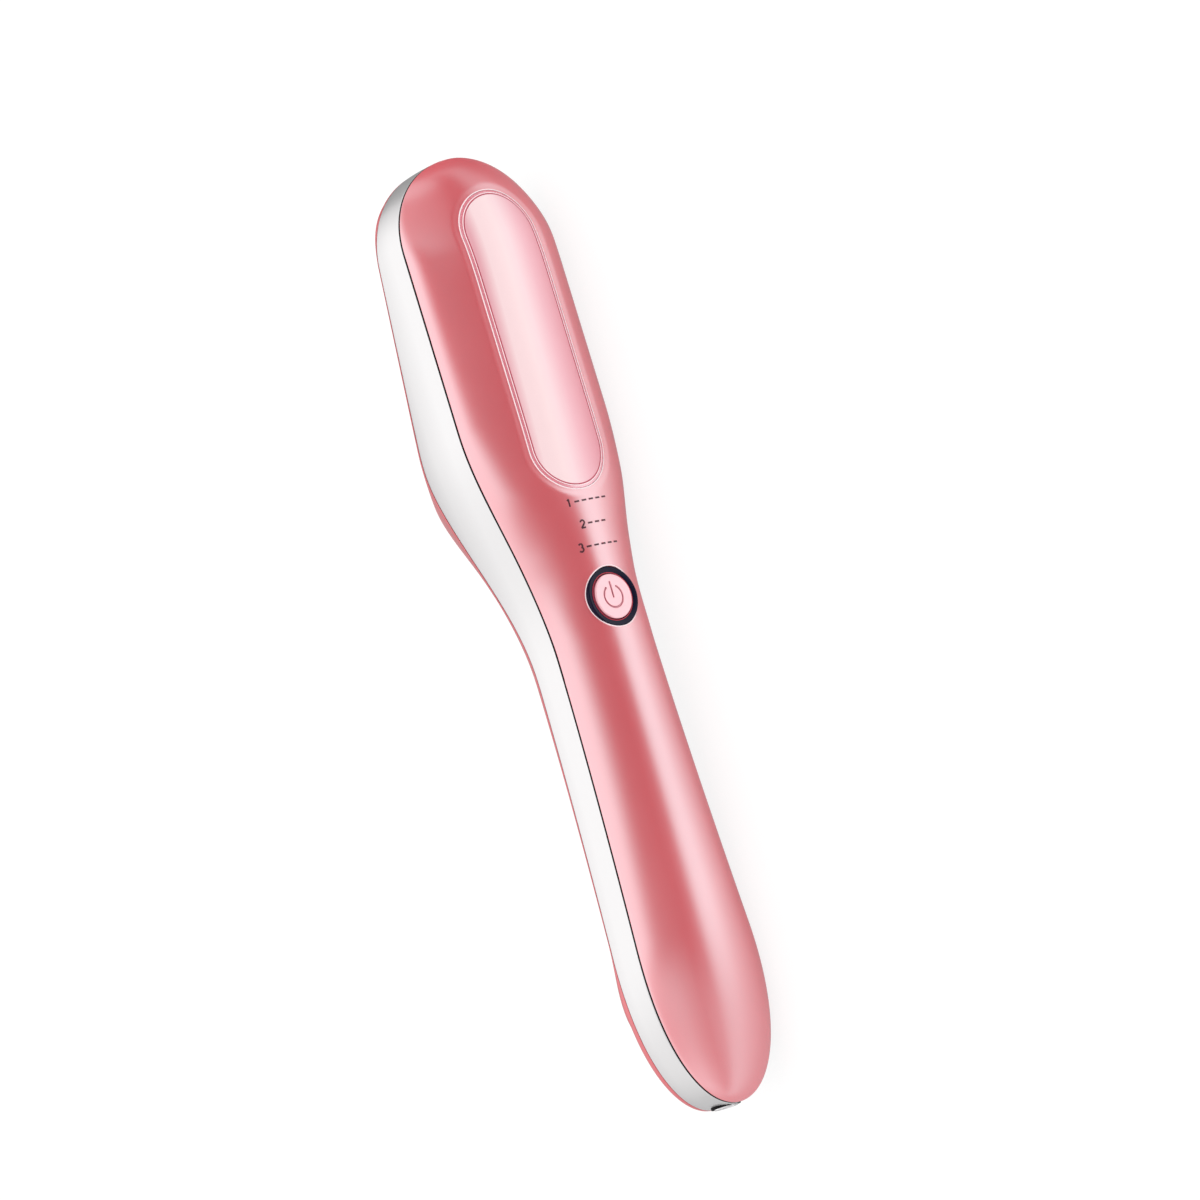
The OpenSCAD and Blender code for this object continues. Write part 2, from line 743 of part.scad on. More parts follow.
module back_boss(p, r, top) {
    low = back_z(abs(p[0]) + r, p[1]) + plate_t + boss_sink;
    translate([p[0], p[1], low]) cylinder(r = r, h = top - low);
}
module back_shell() {
    laid() color("#E8848C") difference() {
        union() {
            difference() {
                back_body();
                back_core();
            }
            difference() {
                ring_wall(lip_out, lip_out + lip_t, gasket_h + fit_gap, 0, true, -lip_sink);
                translate([0, tray_start, cell_z]) rotate([-90, 0, 0])
                    cylinder(r = tray_r + fit_gap, h = waist_screw_y - tray_start);
            }
            for (s = screws) back_boss(s, back_boss_r, frame_low);
            for (x = [-1, 1]) back_boss([x * head_post_x, head_post_y], head_post_r, frame_low);
            for (y = [socket_post_y, board_post_y]) back_boss([0, y], post_r, charge_board_low);
        }
        plate_solid(0, plate_t, heel_back);
        for (s = screws) translate([s[0], s[1], -2 * heel_back]) {
            cylinder(r = well_r, h = 2 * heel_back + screw_seat);
            cylinder(r = screw_r + fit_gap, h = 2 * heel_back);
        }
        on_head() at_z(holder_low) pill(holder_r + inlay_gap, slot_run, heel_back);
        // A flat seat for the holder's flange, because the floor bends down at the heel
        on_head() at_z(holder_low - flange_t)
            pill(holder_r + holder_flange_w + fit_gap, slot_run, 2 * flange_t + seat_gap);
        along_socket(-1) cylinder(r = eyelet_r + seat_gap, h = block_start + 1);
    }
}

module back_plate() {
    laid() color("#E2D8E0") difference() {
        plate_solid(inlay_gap, plate_t, 0);
        on_head() at_z(holder_low) pill(rim_r + seat_gap, slot_run, heel_back);
    }
}

module emitter_bezel() {
    laid() color("#D6CDD6") on_head() difference() {
        at_z(holder_top) pill(rim_r, slot_run, rim_h - holder_top);
        at_z(holder_top - 1) pill(slot_r, slot_run, heel_back);
        at_z(holder_top - 1)
            pill(slot_r + ceramic_lap + seat_gap, slot_run, ceramic_top - holder_top + 1);
    }
}

module ceramic_emitter() {
    laid() color("#F3EFEA") on_head()
        at_z(ceramic_low) pill(slot_r + ceramic_lap, slot_run, ceramic_t);
}

module electrode_strip() {
    laid() color("#C98F5A") on_head()
        at_z(holder_top) pill(slot_r - electrode_inset, slot_run, electrode_t);
}

module emitter_holder() {
    laid() color("#3B3A40") on_head() difference() {
        union() {
            at_z(holder_low) pill(holder_r + holder_flange_w, slot_run, flange_t);
            at_z(holder_low) pill(holder_r, slot_run, holder_top - holder_step - holder_low);
            at_z(holder_low) pill(rim_r, slot_run, holder_top - holder_low);
        }
        translate([0, -slot_run / 2, 2 * holder_low])
            cylinder(r = lead_r + fit_gap, h = -2 * holder_low);
    }
}

module high_voltage_module() {
    laid() color("#20242B")
        translate([-block_w / 2, block_y, frame_low - block_h]) cube([block_w, block_l, block_h]);
}

// The lead runs level from the block, bends once and rises into the back of the electrode
function head_point(run, w) =
    [0, emitter_y + run * cos(head_tilt) + w * sin(head_tilt),
     -back_line(emitter_y) + run * sin(head_tilt) - w * cos(head_tilt)];
module rod(a, b, r) {
    d = b - a;
    translate(a)
        rotate([0, acos(d[2] / norm(d)), atan2(d[1], d[0])]) cylinder(r = r, h = norm(d), $fn = 24);
}
module high_voltage_lead() {
    contact = head_point(-slot_run / 2, holder_top);
    bend = head_point(-slot_run / 2, holder_top - lead_run);
    laid() color("#D23B32") {
        rod([0, block_y + block_l, bend[2]], bend + [0, lead_r, 0], lead_r);
        rod(bend, contact, lead_r - seat_gap);
    }
}

module battery_cell() {
    laid() color("#4C7FB5") translate([0, cell_start, cell_z]) rotate([-90, 0, 0]) {
        cylinder(r = cell_r, h = cell_l - cell_pole_h);
        cylinder(r = cell_pole_r, h = cell_l);
    }
}

module battery_tray() {
    full = cell_l + 2 * (contact_t + tray_end);
    laid() color("#D8D8DB") translate([0, tray_start, cell_z]) rotate([-90, 0, 0]) difference() {
        cylinder(r = tray_r, h = full);
        at_z(tray_end) cylinder(r = cell_r + fit_gap, h = full - 2 * tray_end);
        translate([-2 * tray_r, -4 * tray_r - tray_rise, -1])
            cube([4 * tray_r, 4 * tray_r, full + 2]);
    }
}

module battery_contacts() {
    low = cell_z - contact_drop;
    laid() color("#C7C9CC")
        for (y = [cell_start - contact_t, cell_start + cell_l])
            translate([-contact_w / 2, y, low]) cube([contact_w, contact_t, board_top - low]);
}

// The leads leave the contacts over the ends of the tray
module battery_leads() {
    level = board_low + board_t / 2;
    laid() color("#B5322B")
        for (x = [-wire_x, wire_x])
            rod([x, cell_end + contact_t, level], [x, main_board_y, level], wire_r);
}

module charge_leads() {
    start = charge_board_end - 2 * wire_r;
    laid() color("#B5322B")
        for (x = [-wire_x, wire_x]) {
            bend = [x, start, charge_lead_z];
            rod([x, start, charge_board_top], bend, wire_r);
            rod(bend, [x, cell_start - contact_t, charge_lead_z], wire_r);
            translate(bend) sphere(r = wire_r, $fn = 24);
        }
}

module charge_board() {
    laid() color("#2F7D4F") translate([-charge_board_w / 2, block_start, charge_board_low])
        cube([charge_board_w, charge_board_end - block_start, charge_board_t]);
}

module charge_socket() {
    laid() color("#232326") difference() {
        union() {
            translate([-socket_w / 2, block_start, charge_board_top])
                cube([socket_w, socket_end - block_start, socket_w]);
            along_socket(socket_start)
                cylinder(r = eyelet_r - fit_gap, h = socket_end - socket_start);
        }
        along_socket(0) cylinder(r = jack_r, h = socket_start + jack_depth);
    }
}

module socket_pin() {
    laid() color("#D9D3C0") along_socket(pin_start)
        cylinder(r = jack_pin_r, h = socket_start + jack_depth - pin_start);
}

module port_eyelet() {
    laid() color("#E4E4E6") along_socket(-eyelet_proud) difference() {
        cylinder(r = eyelet_r, h = eyelet_proud + socket_start);
        at_z(-1) cylinder(r = jack_r, h = eyelet_proud + socket_start + 2);
    }
}

module case_screws() {
    laid() color("#B9BCC0")
        for (s = screws) translate([s[0], s[1], screw_seat]) {
            cylinder(r = screw_r, h = screw_l);
            difference() {
                at_z(-screw_head_h) cylinder(r = screw_head_r, h = screw_head_h);
                at_z(-2 * screw_head_h)
                    cylinder(r = screw_drive_r, h = 1.6 * screw_head_h, $fn = 6);
            }
        }
}

front_cover();
window_lens();
light_guide();
window_lights();
light_board();
button_ring();
power_button();
switch_body();
switch_plunger();
main_board();
board_components();
light_ribbon();
inner_frame();
seam_gasket();
side_band();
back_shell();
back_plate();
emitter_bezel();
ceramic_emitter();
electrode_strip();
emitter_holder();
high_voltage_module();
high_voltage_lead();
battery_cell();
battery_tray();
battery_contacts();
battery_leads();
charge_leads();
charge_board();
charge_socket();
socket_pin();
port_eyelet();
case_screws();
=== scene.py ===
# %% [markdown]
# # A plasma skin wand, dressed for its portrait
# The construction model holds every part at its true size. This script loads it as a fixed frame and adds the
# looks: skins worked out as surfaces, finishes of shader nodes, a studio and a camera. The frame comes first,
# because its outer box is the one size that the looks may not change.

# %% Loading the frame
from math import asin, cos, pi, radians, sin, tan

import bmesh
import bpy
import numpy as np
from mathutils import Matrix, Vector


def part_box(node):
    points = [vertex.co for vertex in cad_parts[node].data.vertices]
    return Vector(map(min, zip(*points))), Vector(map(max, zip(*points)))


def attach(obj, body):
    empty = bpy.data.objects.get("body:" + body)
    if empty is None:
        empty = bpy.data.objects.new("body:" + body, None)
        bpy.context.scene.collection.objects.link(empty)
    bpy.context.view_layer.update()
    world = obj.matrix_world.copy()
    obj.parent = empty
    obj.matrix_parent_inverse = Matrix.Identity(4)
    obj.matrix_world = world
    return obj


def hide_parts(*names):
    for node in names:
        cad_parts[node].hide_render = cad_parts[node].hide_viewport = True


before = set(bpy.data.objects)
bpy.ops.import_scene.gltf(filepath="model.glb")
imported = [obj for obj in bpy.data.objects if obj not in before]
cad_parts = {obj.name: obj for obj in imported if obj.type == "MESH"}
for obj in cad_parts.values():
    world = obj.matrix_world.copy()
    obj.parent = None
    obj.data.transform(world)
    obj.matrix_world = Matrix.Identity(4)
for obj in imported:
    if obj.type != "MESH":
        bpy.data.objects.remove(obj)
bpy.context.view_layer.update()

print("parts in the frame:", len(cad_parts))

# %% [markdown]
# ## The wand's own coordinates
# A designer draws the wand upright: x to the right, y from tail to head and z out of the button side, in
# millimetres. One function lays it down, with the small lean that flank and tail ask for, so every object stays
# unturned at the origin. The button, whose place is known in both, tells the shift.

# %% Laying the wand down
MM = 0.001
LEAN = asin(0.0366809)
BUTTON_Y = 99.0
CAP_TOP = 8.45
button_low, button_high = (np.array(corner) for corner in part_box("power_button"))


def as_points(*parts):
    """Coordinates, arrays or plain numbers, side by side as points."""
    return np.stack(np.broadcast_arrays(*parts), axis=-1)


def turn(vectors):
    """Upright directions to lying ones: x falls to -Z, y becomes X, z becomes -Y, plus the lean."""
    x, y, z = np.moveaxis(np.asarray(vectors, float), -1, 0)
    along = sin(LEAN) * x + cos(LEAN) * y
    height = -cos(LEAN) * x + sin(LEAN) * y
    return as_points(along, -z, height)


button_middle = (button_low + button_high) / 2
laid_origin = np.array([button_middle[0], button_low[1], button_middle[2]])
laid_origin = laid_origin - turn([0, BUTTON_Y, CAP_TOP]) * MM


def lay(points):
    """Upright millimetres to lying metres: the turn above, then the shift to the button's place."""
    return turn(points) * MM + laid_origin


print("the tail tip lies at", np.round(lay([0, 0, 0]), 4))

# %% [markdown]
# ## The body's curves
# The silhouette is wide at the head, waisted behind the button and flared at the tail. A Bezier curve could
# trace it, but cover, band and back can all ask a formula for the same edge, so their skins meet exactly. Three
# shapes are enough: a smooth step, a superellipse cap for a round end and a soft minimum.

# %% Three simple shapes


def ramp(t):
    """Smooth step: 0 before t = 0, 1 after t = 1, the cubic 3t^2 - 2t^3 between."""
    t = np.clip(t, 0, 1)
    return t * t * (3 - 2 * t)


def step(y, start, end):
    """Smooth step along the wand: 0 at the start, 1 at the end, which may lie on either side."""
    return ramp((y - start) / (end - start))


def cap(t, power):
    """Superellipse quarter: square root of 1 - t^power, 1 at the start of a cap and 0 at its tip."""
    return np.sqrt(1 - np.clip(t, 0, 1) ** power)


def soft_min(a, b, softness):
    """Lesser of two values, blended over the softness: minus log of the sum of two exponentials."""
    return np.minimum(a, b) - softness * np.log1p(np.exp(-np.abs(a - b) / softness))


# %% The silhouette
LENGTH = 190.0
TAIL_TIP, HEAD_TIP = 0.03, 189.97
WAIST_Y, WAIST_HALF = 90.0, 11.36
TAIL_FLARE, FLARE_POWER = 4.5, 1.55
HEAD_FLARE, NECK_TOP = 6.4, 137.0
TAIL_CAP_Y, TAIL_CAP_POWER = 33.0, 2.05
HEAD_CAP_Y, HEAD_CAP_POWER = 172.5, 2.13


def body_half(y):
    """Half width without the caps: the waist, a power curve to the tail and a smooth step to the head."""
    flare = TAIL_FLARE * (np.maximum(0, WAIST_Y - y) / WAIST_Y) ** FLARE_POWER
    return WAIST_HALF + flare + HEAD_FLARE * step(y, WAIST_Y, NECK_TOP)


def tail_cap(y):
    """The long round end at the tail, 1 on the handle and 0 at the tip."""
    return cap((TAIL_CAP_Y - y) / (TAIL_CAP_Y - TAIL_TIP), TAIL_CAP_POWER)


def end_factor(y):
    """Both end caps as one factor: a long one at the tail and a short one at the head."""
    return tail_cap(y) * cap((y - HEAD_CAP_Y) / (HEAD_TIP - HEAD_CAP_Y), HEAD_CAP_POWER)


def half_width(y):
    """Half width of the body at y: the open silhouette times the end caps."""
    return body_half(y) * end_factor(y)


print("half widths at the waist and at the head:", body_half(WAIST_Y), float(half_width(150.0)))

# %% [markdown]
# ## The cover's and the back's heights
# From the side, the seam drops towards the head, and the cover above it is a half ellipse across, leaner at the
# neck and the tip. Below it the band grows deeper towards the heel, and behind the band the shell rises to a
# plate whose head end is tilted.

# %% The cover's height
SEAM_HANDLE, SEAM_HEAD_DROP, SEAM_TAIL_DROP = 0.65, 1.05, 0.35
CROWN_HANDLE, CROWN_TIP_Y = 8.5, 164.0
ELLIPSE, NECK_LEAN, TIP_LEAN = 0.5, 0.2, 0.45


def seam_z(y):
    """Height of the seam: a little high along the handle, then a smooth step down to the head."""
    return SEAM_HANDLE - SEAM_HEAD_DROP * step(y, 108, 136) - SEAM_TAIL_DROP * step(y, TAIL_CAP_Y, 0)


def crown(y):
    """Height of the cover's middle line: 1 mm more at the head, down to the seam at both tips."""
    ends = tail_cap(y) * cap((y - CROWN_TIP_Y) / (HEAD_TIP - CROWN_TIP_Y), 2)
    return seam_z(y) + (CROWN_HANDLE + step(y, WAIST_Y, NECK_TOP) - seam_z(y)) * ends


def leanness(y):
    """Power of the cover's section: 0.5 is an ellipse, more makes it leaner at the neck and the tip."""
    return ELLIPSE + NECK_LEAN * step(y, 92, 106) * step(y, 124, 110) + TIP_LEAN * step(y, 170, 187)


def cover_height(x, y):
    """Height of the cover: the seam plus the crown times (1 - share of the half width squared)^power."""
    room = np.clip(1 - (x / np.maximum(half_width(y), 1e-6)) ** 2, 0, None)
    return seam_z(y) + (crown(y) - seam_z(y)) * room ** leanness(y)


# %% The band's and the back's depths
BAND_HANDLE, BAND_HEEL_RISE, BAND_TIP, BAND_SLANT = 7.4, 7.4, 6.9, 0.131
BACK_HANDLE, BACK_HEEL_RISE = 15.1, 7.8
HEAD_Y, HEAD_BACK, HEAD_TILT = 153.0, 18.05, radians(10)
PLATE_LOW, PLATE_HIGH = 20.0, 184.6
PLATE_ROUND_LOW, PLATE_ROUND_HIGH = 33.0, 173.6
PLATE_HANDLE, PLATE_HEAD_RISE = 5.0, 6.0
NOSE_POWER, SHOULDER = 1.6, 1.05


def band_depth(y):
    """Depth of the band's lower edge: a smooth step to the heel, softly held under a slanted line."""
    return soft_min(BAND_HANDLE + BAND_HEEL_RISE * step(y, 86, 138), BAND_TIP + BAND_SLANT * (LENGTH - y), 0.5)


def back_depth(y):
    """Depth of the back plate: a smooth step to the heel, softly held under the tilted head's line."""
    rising = BACK_HANDLE + BACK_HEEL_RISE * step(y, 88, 129)
    return soft_min(rising, HEAD_BACK - tan(HEAD_TILT) * (y - HEAD_Y), 0.4)


def nose_factor(y):
    """Share of the back's depth left at the noses past the plate's two ends."""
    return cap((PLATE_LOW - y) / (PLATE_LOW - TAIL_TIP), 2) * cap((y - PLATE_HIGH) / (HEAD_TIP - PLATE_HIGH), 2)


def plate_side(y):
    """Half width of the back plate without its round ends: narrow on the handle, wide on the head."""
    return PLATE_HANDLE + PLATE_HEAD_RISE * step(y, 103, 133)


def plate_share(y):
    """Round ends of the back plate as one factor."""
    low_end = cap((PLATE_ROUND_LOW - y) / (PLATE_ROUND_LOW - PLATE_LOW), 2)
    return low_end * cap((y - PLATE_ROUND_HIGH) / (PLATE_HIGH - PLATE_ROUND_HIGH), 2)


def shell_depth(x, y):
    """Depth of the back shell: a superellipse shoulder from band to plate, rounder at the noses."""
    flat = plate_side(y) * plate_share(y)
    low = band_depth(y)
    high = low + (back_depth(y) - low) * nose_factor(y)
    power = NOSE_POWER - (NOSE_POWER - SHOULDER) * step(y, PLATE_LOW, 36) * step(y, PLATE_HIGH, PLATE_ROUND_HIGH)
    run = np.clip((np.abs(x) - flat) / np.maximum(half_width(y) - flat, 1e-6), 0, 1)
    return low + (high - low) * (1 - run ** power) ** (1 / power)


print("depth of the back at the heel:", round(float(back_depth(129.0)), 2), "mm")

# %% [markdown]
# ## How far is it to an edge?
# A real moulding has no razor edges. A Bevel takes every edge of a fine grid for its own, so each point asks
# how far it lies from the edge and drops by a quarter circle if it is near. A room is zero on the edge and
# grows inwards; over the length of its slope it is a distance.

# %% Rooms, distances and rounded edges


def unit(vectors):
    """Vectors divided by their lengths."""
    return vectors / np.maximum(np.linalg.norm(vectors, axis=-1, keepdims=True), 1e-9)


def slope(field, x, y, reach=1e-3):
    """Gradient of a field of x and y by central differences."""
    across = (field(x + reach, y) - field(x - reach, y)) / (2 * reach)
    along = (field(x, y + reach) - field(x, y - reach)) / (2 * reach)
    return as_points(across, along)


def body_room(x, y):
    """Positive inside the silhouette, zero on it: the caps squared minus the share of the width."""
    return end_factor(y) ** 2 - (x / body_half(y)) ** 2


def plate_room(x, y):
    """Positive inside the plate's outline, zero on it."""
    return plate_share(y) ** 2 - (x / plate_side(y)) ** 2


def edge_distance(room, x, y):
    """Distance to the line where a room is zero, to first order: the room over its slope's length."""
    return room(x, y) / np.maximum(np.linalg.norm(slope(room, x, y), axis=-1), 1e-9)


def rounding(distance, radius):
    """Drop of a rounded edge of a radius: a quarter circle, zero from one radius inwards."""
    left = np.clip(radius - distance, 0, radius)
    return radius - np.sqrt(radius ** 2 - left ** 2)


print("a point 0.05 mm from an edge of 0.15 mm drops by", round(float(rounding(0.05, 0.15)), 3), "mm")

# %% [markdown]
# ## From grids to meshes
# A skin is one or more grids of points, merged along shared lines. Its patches have to run the same way round:
# otherwise the shared line counts as open, and a wall grows along it. A Solidify could draw the inner layer,
# but a rule keeps the layers apart at thin lips.

# %% Grids, patches and quads


def grid_quads(rows, columns, close_rows=False, close_columns=False):
    """Quads of a grid, counter-clockwise over rows and columns, with wrapped neighbours if closed."""
    i = np.arange(rows if close_rows else rows - 1)
    j = np.arange(columns if close_columns else columns - 1)
    i, j = (part.ravel() for part in np.meshgrid(i, j, indexing="ij"))
    low, high = i * columns, (i + 1) % rows * columns
    right = (j + 1) % columns
    return np.stack([low + j, low + right, high + right, high + j], axis=1)


def patch(points, **closing):
    """A grid of points as one patch: its points in a list and its quads."""
    rows, columns = points.shape[:2]
    return points.reshape(-1, 3), grid_quads(rows, columns, **closing)


def tube(points):
    """A grid that closes on itself both ways, as a ring does."""
    return patch(points, close_rows=True, close_columns=True)


def joined(*patches):
    """Several patches as one: points one after another, quads moved up by the points before them."""
    starts = np.cumsum([0] + [len(points) for points, quads in patches[:-1]])
    points = np.concatenate([points for points, quads in patches])
    quads = np.concatenate([shape[1] + start for shape, start in zip(patches, starts)])
    return points, quads


def raised(plan, z):
    """Plan points, x and y, with their heights."""
    return np.concatenate([plan, z[..., None]], axis=-1)


# %% Merging, walls and whole pieces
MERGE = 1e-4
CRISP = radians(38)


def merged(points, quads):
    """Points that lie on one another become one, and the quads follow."""
    keys = np.round(points / MERGE).astype(np.int64)
    first, names = np.unique(keys, axis=0, return_index=True, return_inverse=True)[1:]
    return points[first], names.reshape(-1)[quads]


def open_edges(quads):
    """Edges that only one quad uses, in that quad's direction."""
    edges = as_points(quads, np.roll(quads, -1, axis=1)).reshape(-1, 2)
    edges = edges[edges[:, 0] != edges[:, 1]]
    size = quads.max() + 1
    there, back = edges[:, 0] * size + edges[:, 1], edges[:, 1] * size + edges[:, 0]
    return edges[~np.isin(there, back)]


def walled(points, quads, draw_in):
    """Closes an open skin: a second layer drawn in by a rule, turned over, and a rim along the open edges."""
    points, quads = merged(points, quads)
    rim = open_edges(quads)
    count = len(points)
    rim_quads = np.stack([rim[:, 1], rim[:, 0], rim[:, 0] + count, rim[:, 1] + count], axis=1)
    layers = np.concatenate([quads, quads[:, ::-1] + count, rim_quads])
    return np.concatenate([points, draw_in(points)]), layers


def whole_faces(quads):
    """Quads as face lists: those that lost one corner at a pole become triangles, thinner ones go."""
    kept = quads != np.roll(quads, -1, axis=1)
    corners = kept.sum(axis=1)
    return quads[corners == 4].tolist() + quads[corners == 3][kept[corners == 3]].reshape(-1, 3).tolist()


def placed(name, data):
    """A new object in the scene."""
    made = bpy.data.objects.new(name, data)
    bpy.context.scene.collection.objects.link(made)
    return made


def make(name, shape, material, body="handset", nodes=(), slot=None):
    """A shape, upright points and quads, as a finished piece on its body, for its nodes; the slot is not used."""
    points, quads = merged(*shape)
    mesh = bpy.data.meshes.new(name)
    mesh.from_pydata(lay(points), [], whole_faces(quads))
    faces = bmesh.new()
    faces.from_mesh(mesh)
    bmesh.ops.recalc_face_normals(faces, faces=faces.faces)
    faces.to_mesh(mesh)
    faces.free()
    mesh.shade_smooth()
    mesh.set_sharp_from_angle(angle=CRISP)
    mesh.materials.append(material)
    made = placed(name, mesh)
    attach(made, body)
    if nodes:
        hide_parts(*nodes)
    print(name, len(mesh.polygons), "faces")


# %% [markdown]
# ## Pills and rings
# Window and emitter slot are pills, straight runs with round ends, and button and socket are turned. So there
# is one path round a pill and one lathe, which closes its own seam, as a Spin does not.

# %% Paths and sections


def pill_directions(arc=48, side=40):
    """Path round a pill: outward directions and the share of the straight run where each starts."""
    angle = np.linspace(0, pi, arc, endpoint=False)
    still = np.zeros(side)
    rise = np.linspace(-1, 1, side, endpoint=False)
    angles = np.concatenate([still, angle, still + pi, angle + pi])
    share = np.concatenate([rise, np.ones(arc), -rise, -np.ones(arc)])
    return as_points(np.cos(angles), np.sin(angles)), share


def lathe(profile, steps=128):
    """Turns a closed profile of radius and height about the z axis: a grid closed both ways."""
    angle = np.linspace(0, 2 * pi, steps, endpoint=False)[:, None]
    radius, height = np.asarray(profile, float).T
    return tube(as_points(radius * np.cos(angle), radius * np.sin(angle), height))


def rounded_ring(inner, outer, low, high, radius, steps=8):
    """Closed profile of a ring's section: a box with quarter circles at its four corners."""
    turns = np.linspace(0, pi / 2, steps)
    corners = [(outer - radius, high - radius, 0), (inner + radius, high - radius, 1),
               (inner + radius, low + radius, 2), (outer - radius, low + radius, 3)]
    spots = [as_points(x + radius * np.cos(turns + quarter * pi / 2),
                       z + radius * np.sin(turns + quarter * pi / 2))
             for x, z, quarter in corners]
    return np.concatenate(spots)


print("points round a pill:", len(pill_directions()[1]))

# %% [markdown]
# ## Finishes
# Each finish is a small network round one Principled shader. Only what varies over a surface is linked in: a
# slow drift of tint, a wandering roughness as on handled plastic, and a fine grain. All read Object
# coordinates, in metres, so no piece needs a UV map.

# %% Helpers for nodes


def shader_of(material):
    """The Principled shader of a material."""
    return material.node_tree.nodes["Principled BSDF"]


def add_node(owner, kind, **settings):
    """A node of a kind in a material or world, with its settings and sockets set by name."""
    node = owner.node_tree.nodes.new(kind)
    for key, value in settings.items():
        if hasattr(node, key):
            setattr(node, key, value)
        else:
            node.inputs[key].default_value = value
    return node


def link(owner, source, target):
    """A wire from one socket to another."""
    owner.node_tree.links.new(source, target)


def coordinate(owner, axis, output="Object"):
    """One coordinate of the place or direction that a ray meets."""
    split = add_node(owner, "ShaderNodeSeparateXYZ")
    link(owner, add_node(owner, "ShaderNodeTexCoord").outputs[output], split.inputs[0])
    return split.outputs[axis]


def mapped(owner, source, start, end, low=0, high=1, kind="SMOOTHSTEP"):
    """A socket's value turned into low before the start, high after the end and a step between."""
    node = add_node(owner, "ShaderNodeMapRange", interpolation_type=kind,
                    **{"From Min": start, "From Max": end, "To Min": low, "To Max": high})
    link(owner, source, node.inputs["Value"])
    return node.outputs["Result"]


def arithmetic(owner, operation, first, second):
    """Arithmetic on two sockets or plain numbers."""
    node = add_node(owner, "ShaderNodeMath", operation=operation)
    for socket, value in zip(node.inputs, (first, second)):
        if isinstance(value, (int, float)):
            socket.default_value = value
        else:
            link(owner, value, socket)
    return node.outputs[0]


def times(owner, *factors):
    """The product of sockets or plain numbers, from left to right."""
    product = factors[0]
    for factor in factors[1:]:
        product = arithmetic(owner, "MULTIPLY", product, factor)
    return product


def tint_stops(owner, source, stops):
    """Colour by a socket's value, through (position, tint) stops."""
    node = add_node(owner, "ShaderNodeValToRGB")
    elements = node.color_ramp.elements
    for element, (position, tint) in ((elements[0], stops[0]), (elements[-1], stops[-1])):
        element.position, element.color = position, (*tint, 1)
    for position, tint in stops[1:-1]:
        elements.new(position).color = (*tint, 1)
    link(owner, source, node.inputs["Fac"])
    return node.outputs["Color"]


def noise(material, scale, detail):
    """Noise on Object coordinates, its scale in ripples per metre."""
    cloud = add_node(material, "ShaderNodeTexNoise", Scale=scale, Detail=detail, Roughness=0.5)
    link(material, add_node(material, "ShaderNodeTexCoord").outputs["Object"], cloud.inputs["Vector"])
    return cloud.outputs["Fac"]


# %% Helpers for finishes


def add_bump(material, height, depth, strength):
    """Bump from a height socket, its depth in millimetres."""
    bump = add_node(material, "ShaderNodeBump", Distance=depth * MM, Strength=strength)
    link(material, height, bump.inputs["Height"])
    link(material, bump.outputs["Normal"], shader_of(material).inputs["Normal"])


def new_finish(name, tint=None, wear=None, grain=None, **values):
    """One Principled shader with values on its sockets. Tint is two colours and a noise scale, wear a low
    and a high roughness and a scale, grain a scale, a depth in millimetres and a strength."""
    material = bpy.data.materials.new(name)
    material.use_nodes = True
    sockets = shader_of(material).inputs
    for socket, value in values.items():
        sockets[socket.replace("_", " ")].default_value = value
    if tint:
        first, second, scale = tint
        cloud = noise(material, scale, 2.0)
        link(material, tint_stops(material, cloud, [(0.35, first), (0.65, second)]), sockets["Base Color"])
    if wear:
        low, high, scale = wear
        cloud = noise(material, scale, 5.0)
        link(material, mapped(material, cloud, 0, 1, low, high, "LINEAR"), sockets["Roughness"])
    if grain:
        scale, depth, strength = grain
        add_bump(material, noise(material, scale, 3.0), depth, strength)
    return material


def add_slope(material, axis, low, high, stops):
    """A base colour that runs through the stops, (share, tint) pairs, between two places along an axis."""
    share = mapped(material, coordinate(material, axis), low, high, kind="LINEAR")
    link(material, tint_stops(material, share, stops), shader_of(material).inputs["Base Color"])


def add_turning(material, middle, period):
    """Fine turned rings as bump: a wave of the distance from a middle, its period in millimetres."""
    shift = add_node(material, "ShaderNodeMapping", Location=[-float(value) for value in middle])
    rings = add_node(material, "ShaderNodeTexWave", wave_type="RINGS", rings_direction="Y",
                     Scale=2 * pi / (20 * period * MM))
    link(material, add_node(material, "ShaderNodeTexCoord").outputs["Object"], shift.inputs["Vector"])
    link(material, shift.outputs["Vector"], rings.inputs["Vector"])
    add_bump(material, rings.outputs["Fac"], 0.01, 0.6)


# %% [markdown]
# ## Pearl paint and the window's pane
# The pearl is deep rose where it mirrors the dark and pale pink where it mirrors the light. A metal would lose
# the rose in the shadow and a plain dielectric mirrors too little, so it is one of a high index with a tinted
# mirror image, over a saturated base. The pane's pale middle is painted light, a slope of colour, because light
# inside the plate makes it and no lamp here could. Its deeper lower side and upper edge are painted shade, and
# its faint pink glow is painted too.

# %% The cover's and the window's finishes
PEARL_GLOW = (0.5, 0.9, 0.94, 1)
CLEAR_COAT = {"Coat_Weight": 0.3, "Coat_Roughness": 0.1}
SHELL_GRAIN = (9000, 0.004, 0.15)
PANE_LOW, PANE_HIGH = 0.010, 0.0265
PANE_LIGHT_AND_SHADE_STOPS = [(0, (0.77, 0.31, 0.37)), (0.12, (0.80, 0.37, 0.43)), (0.28, (0.84, 0.46, 0.52)),
              (0.5, (0.89, 0.655, 0.69)), (0.62, (0.91, 0.70, 0.715)), (0.86, (0.89, 0.67, 0.69)),
              (1, (0.74, 0.36, 0.41))]

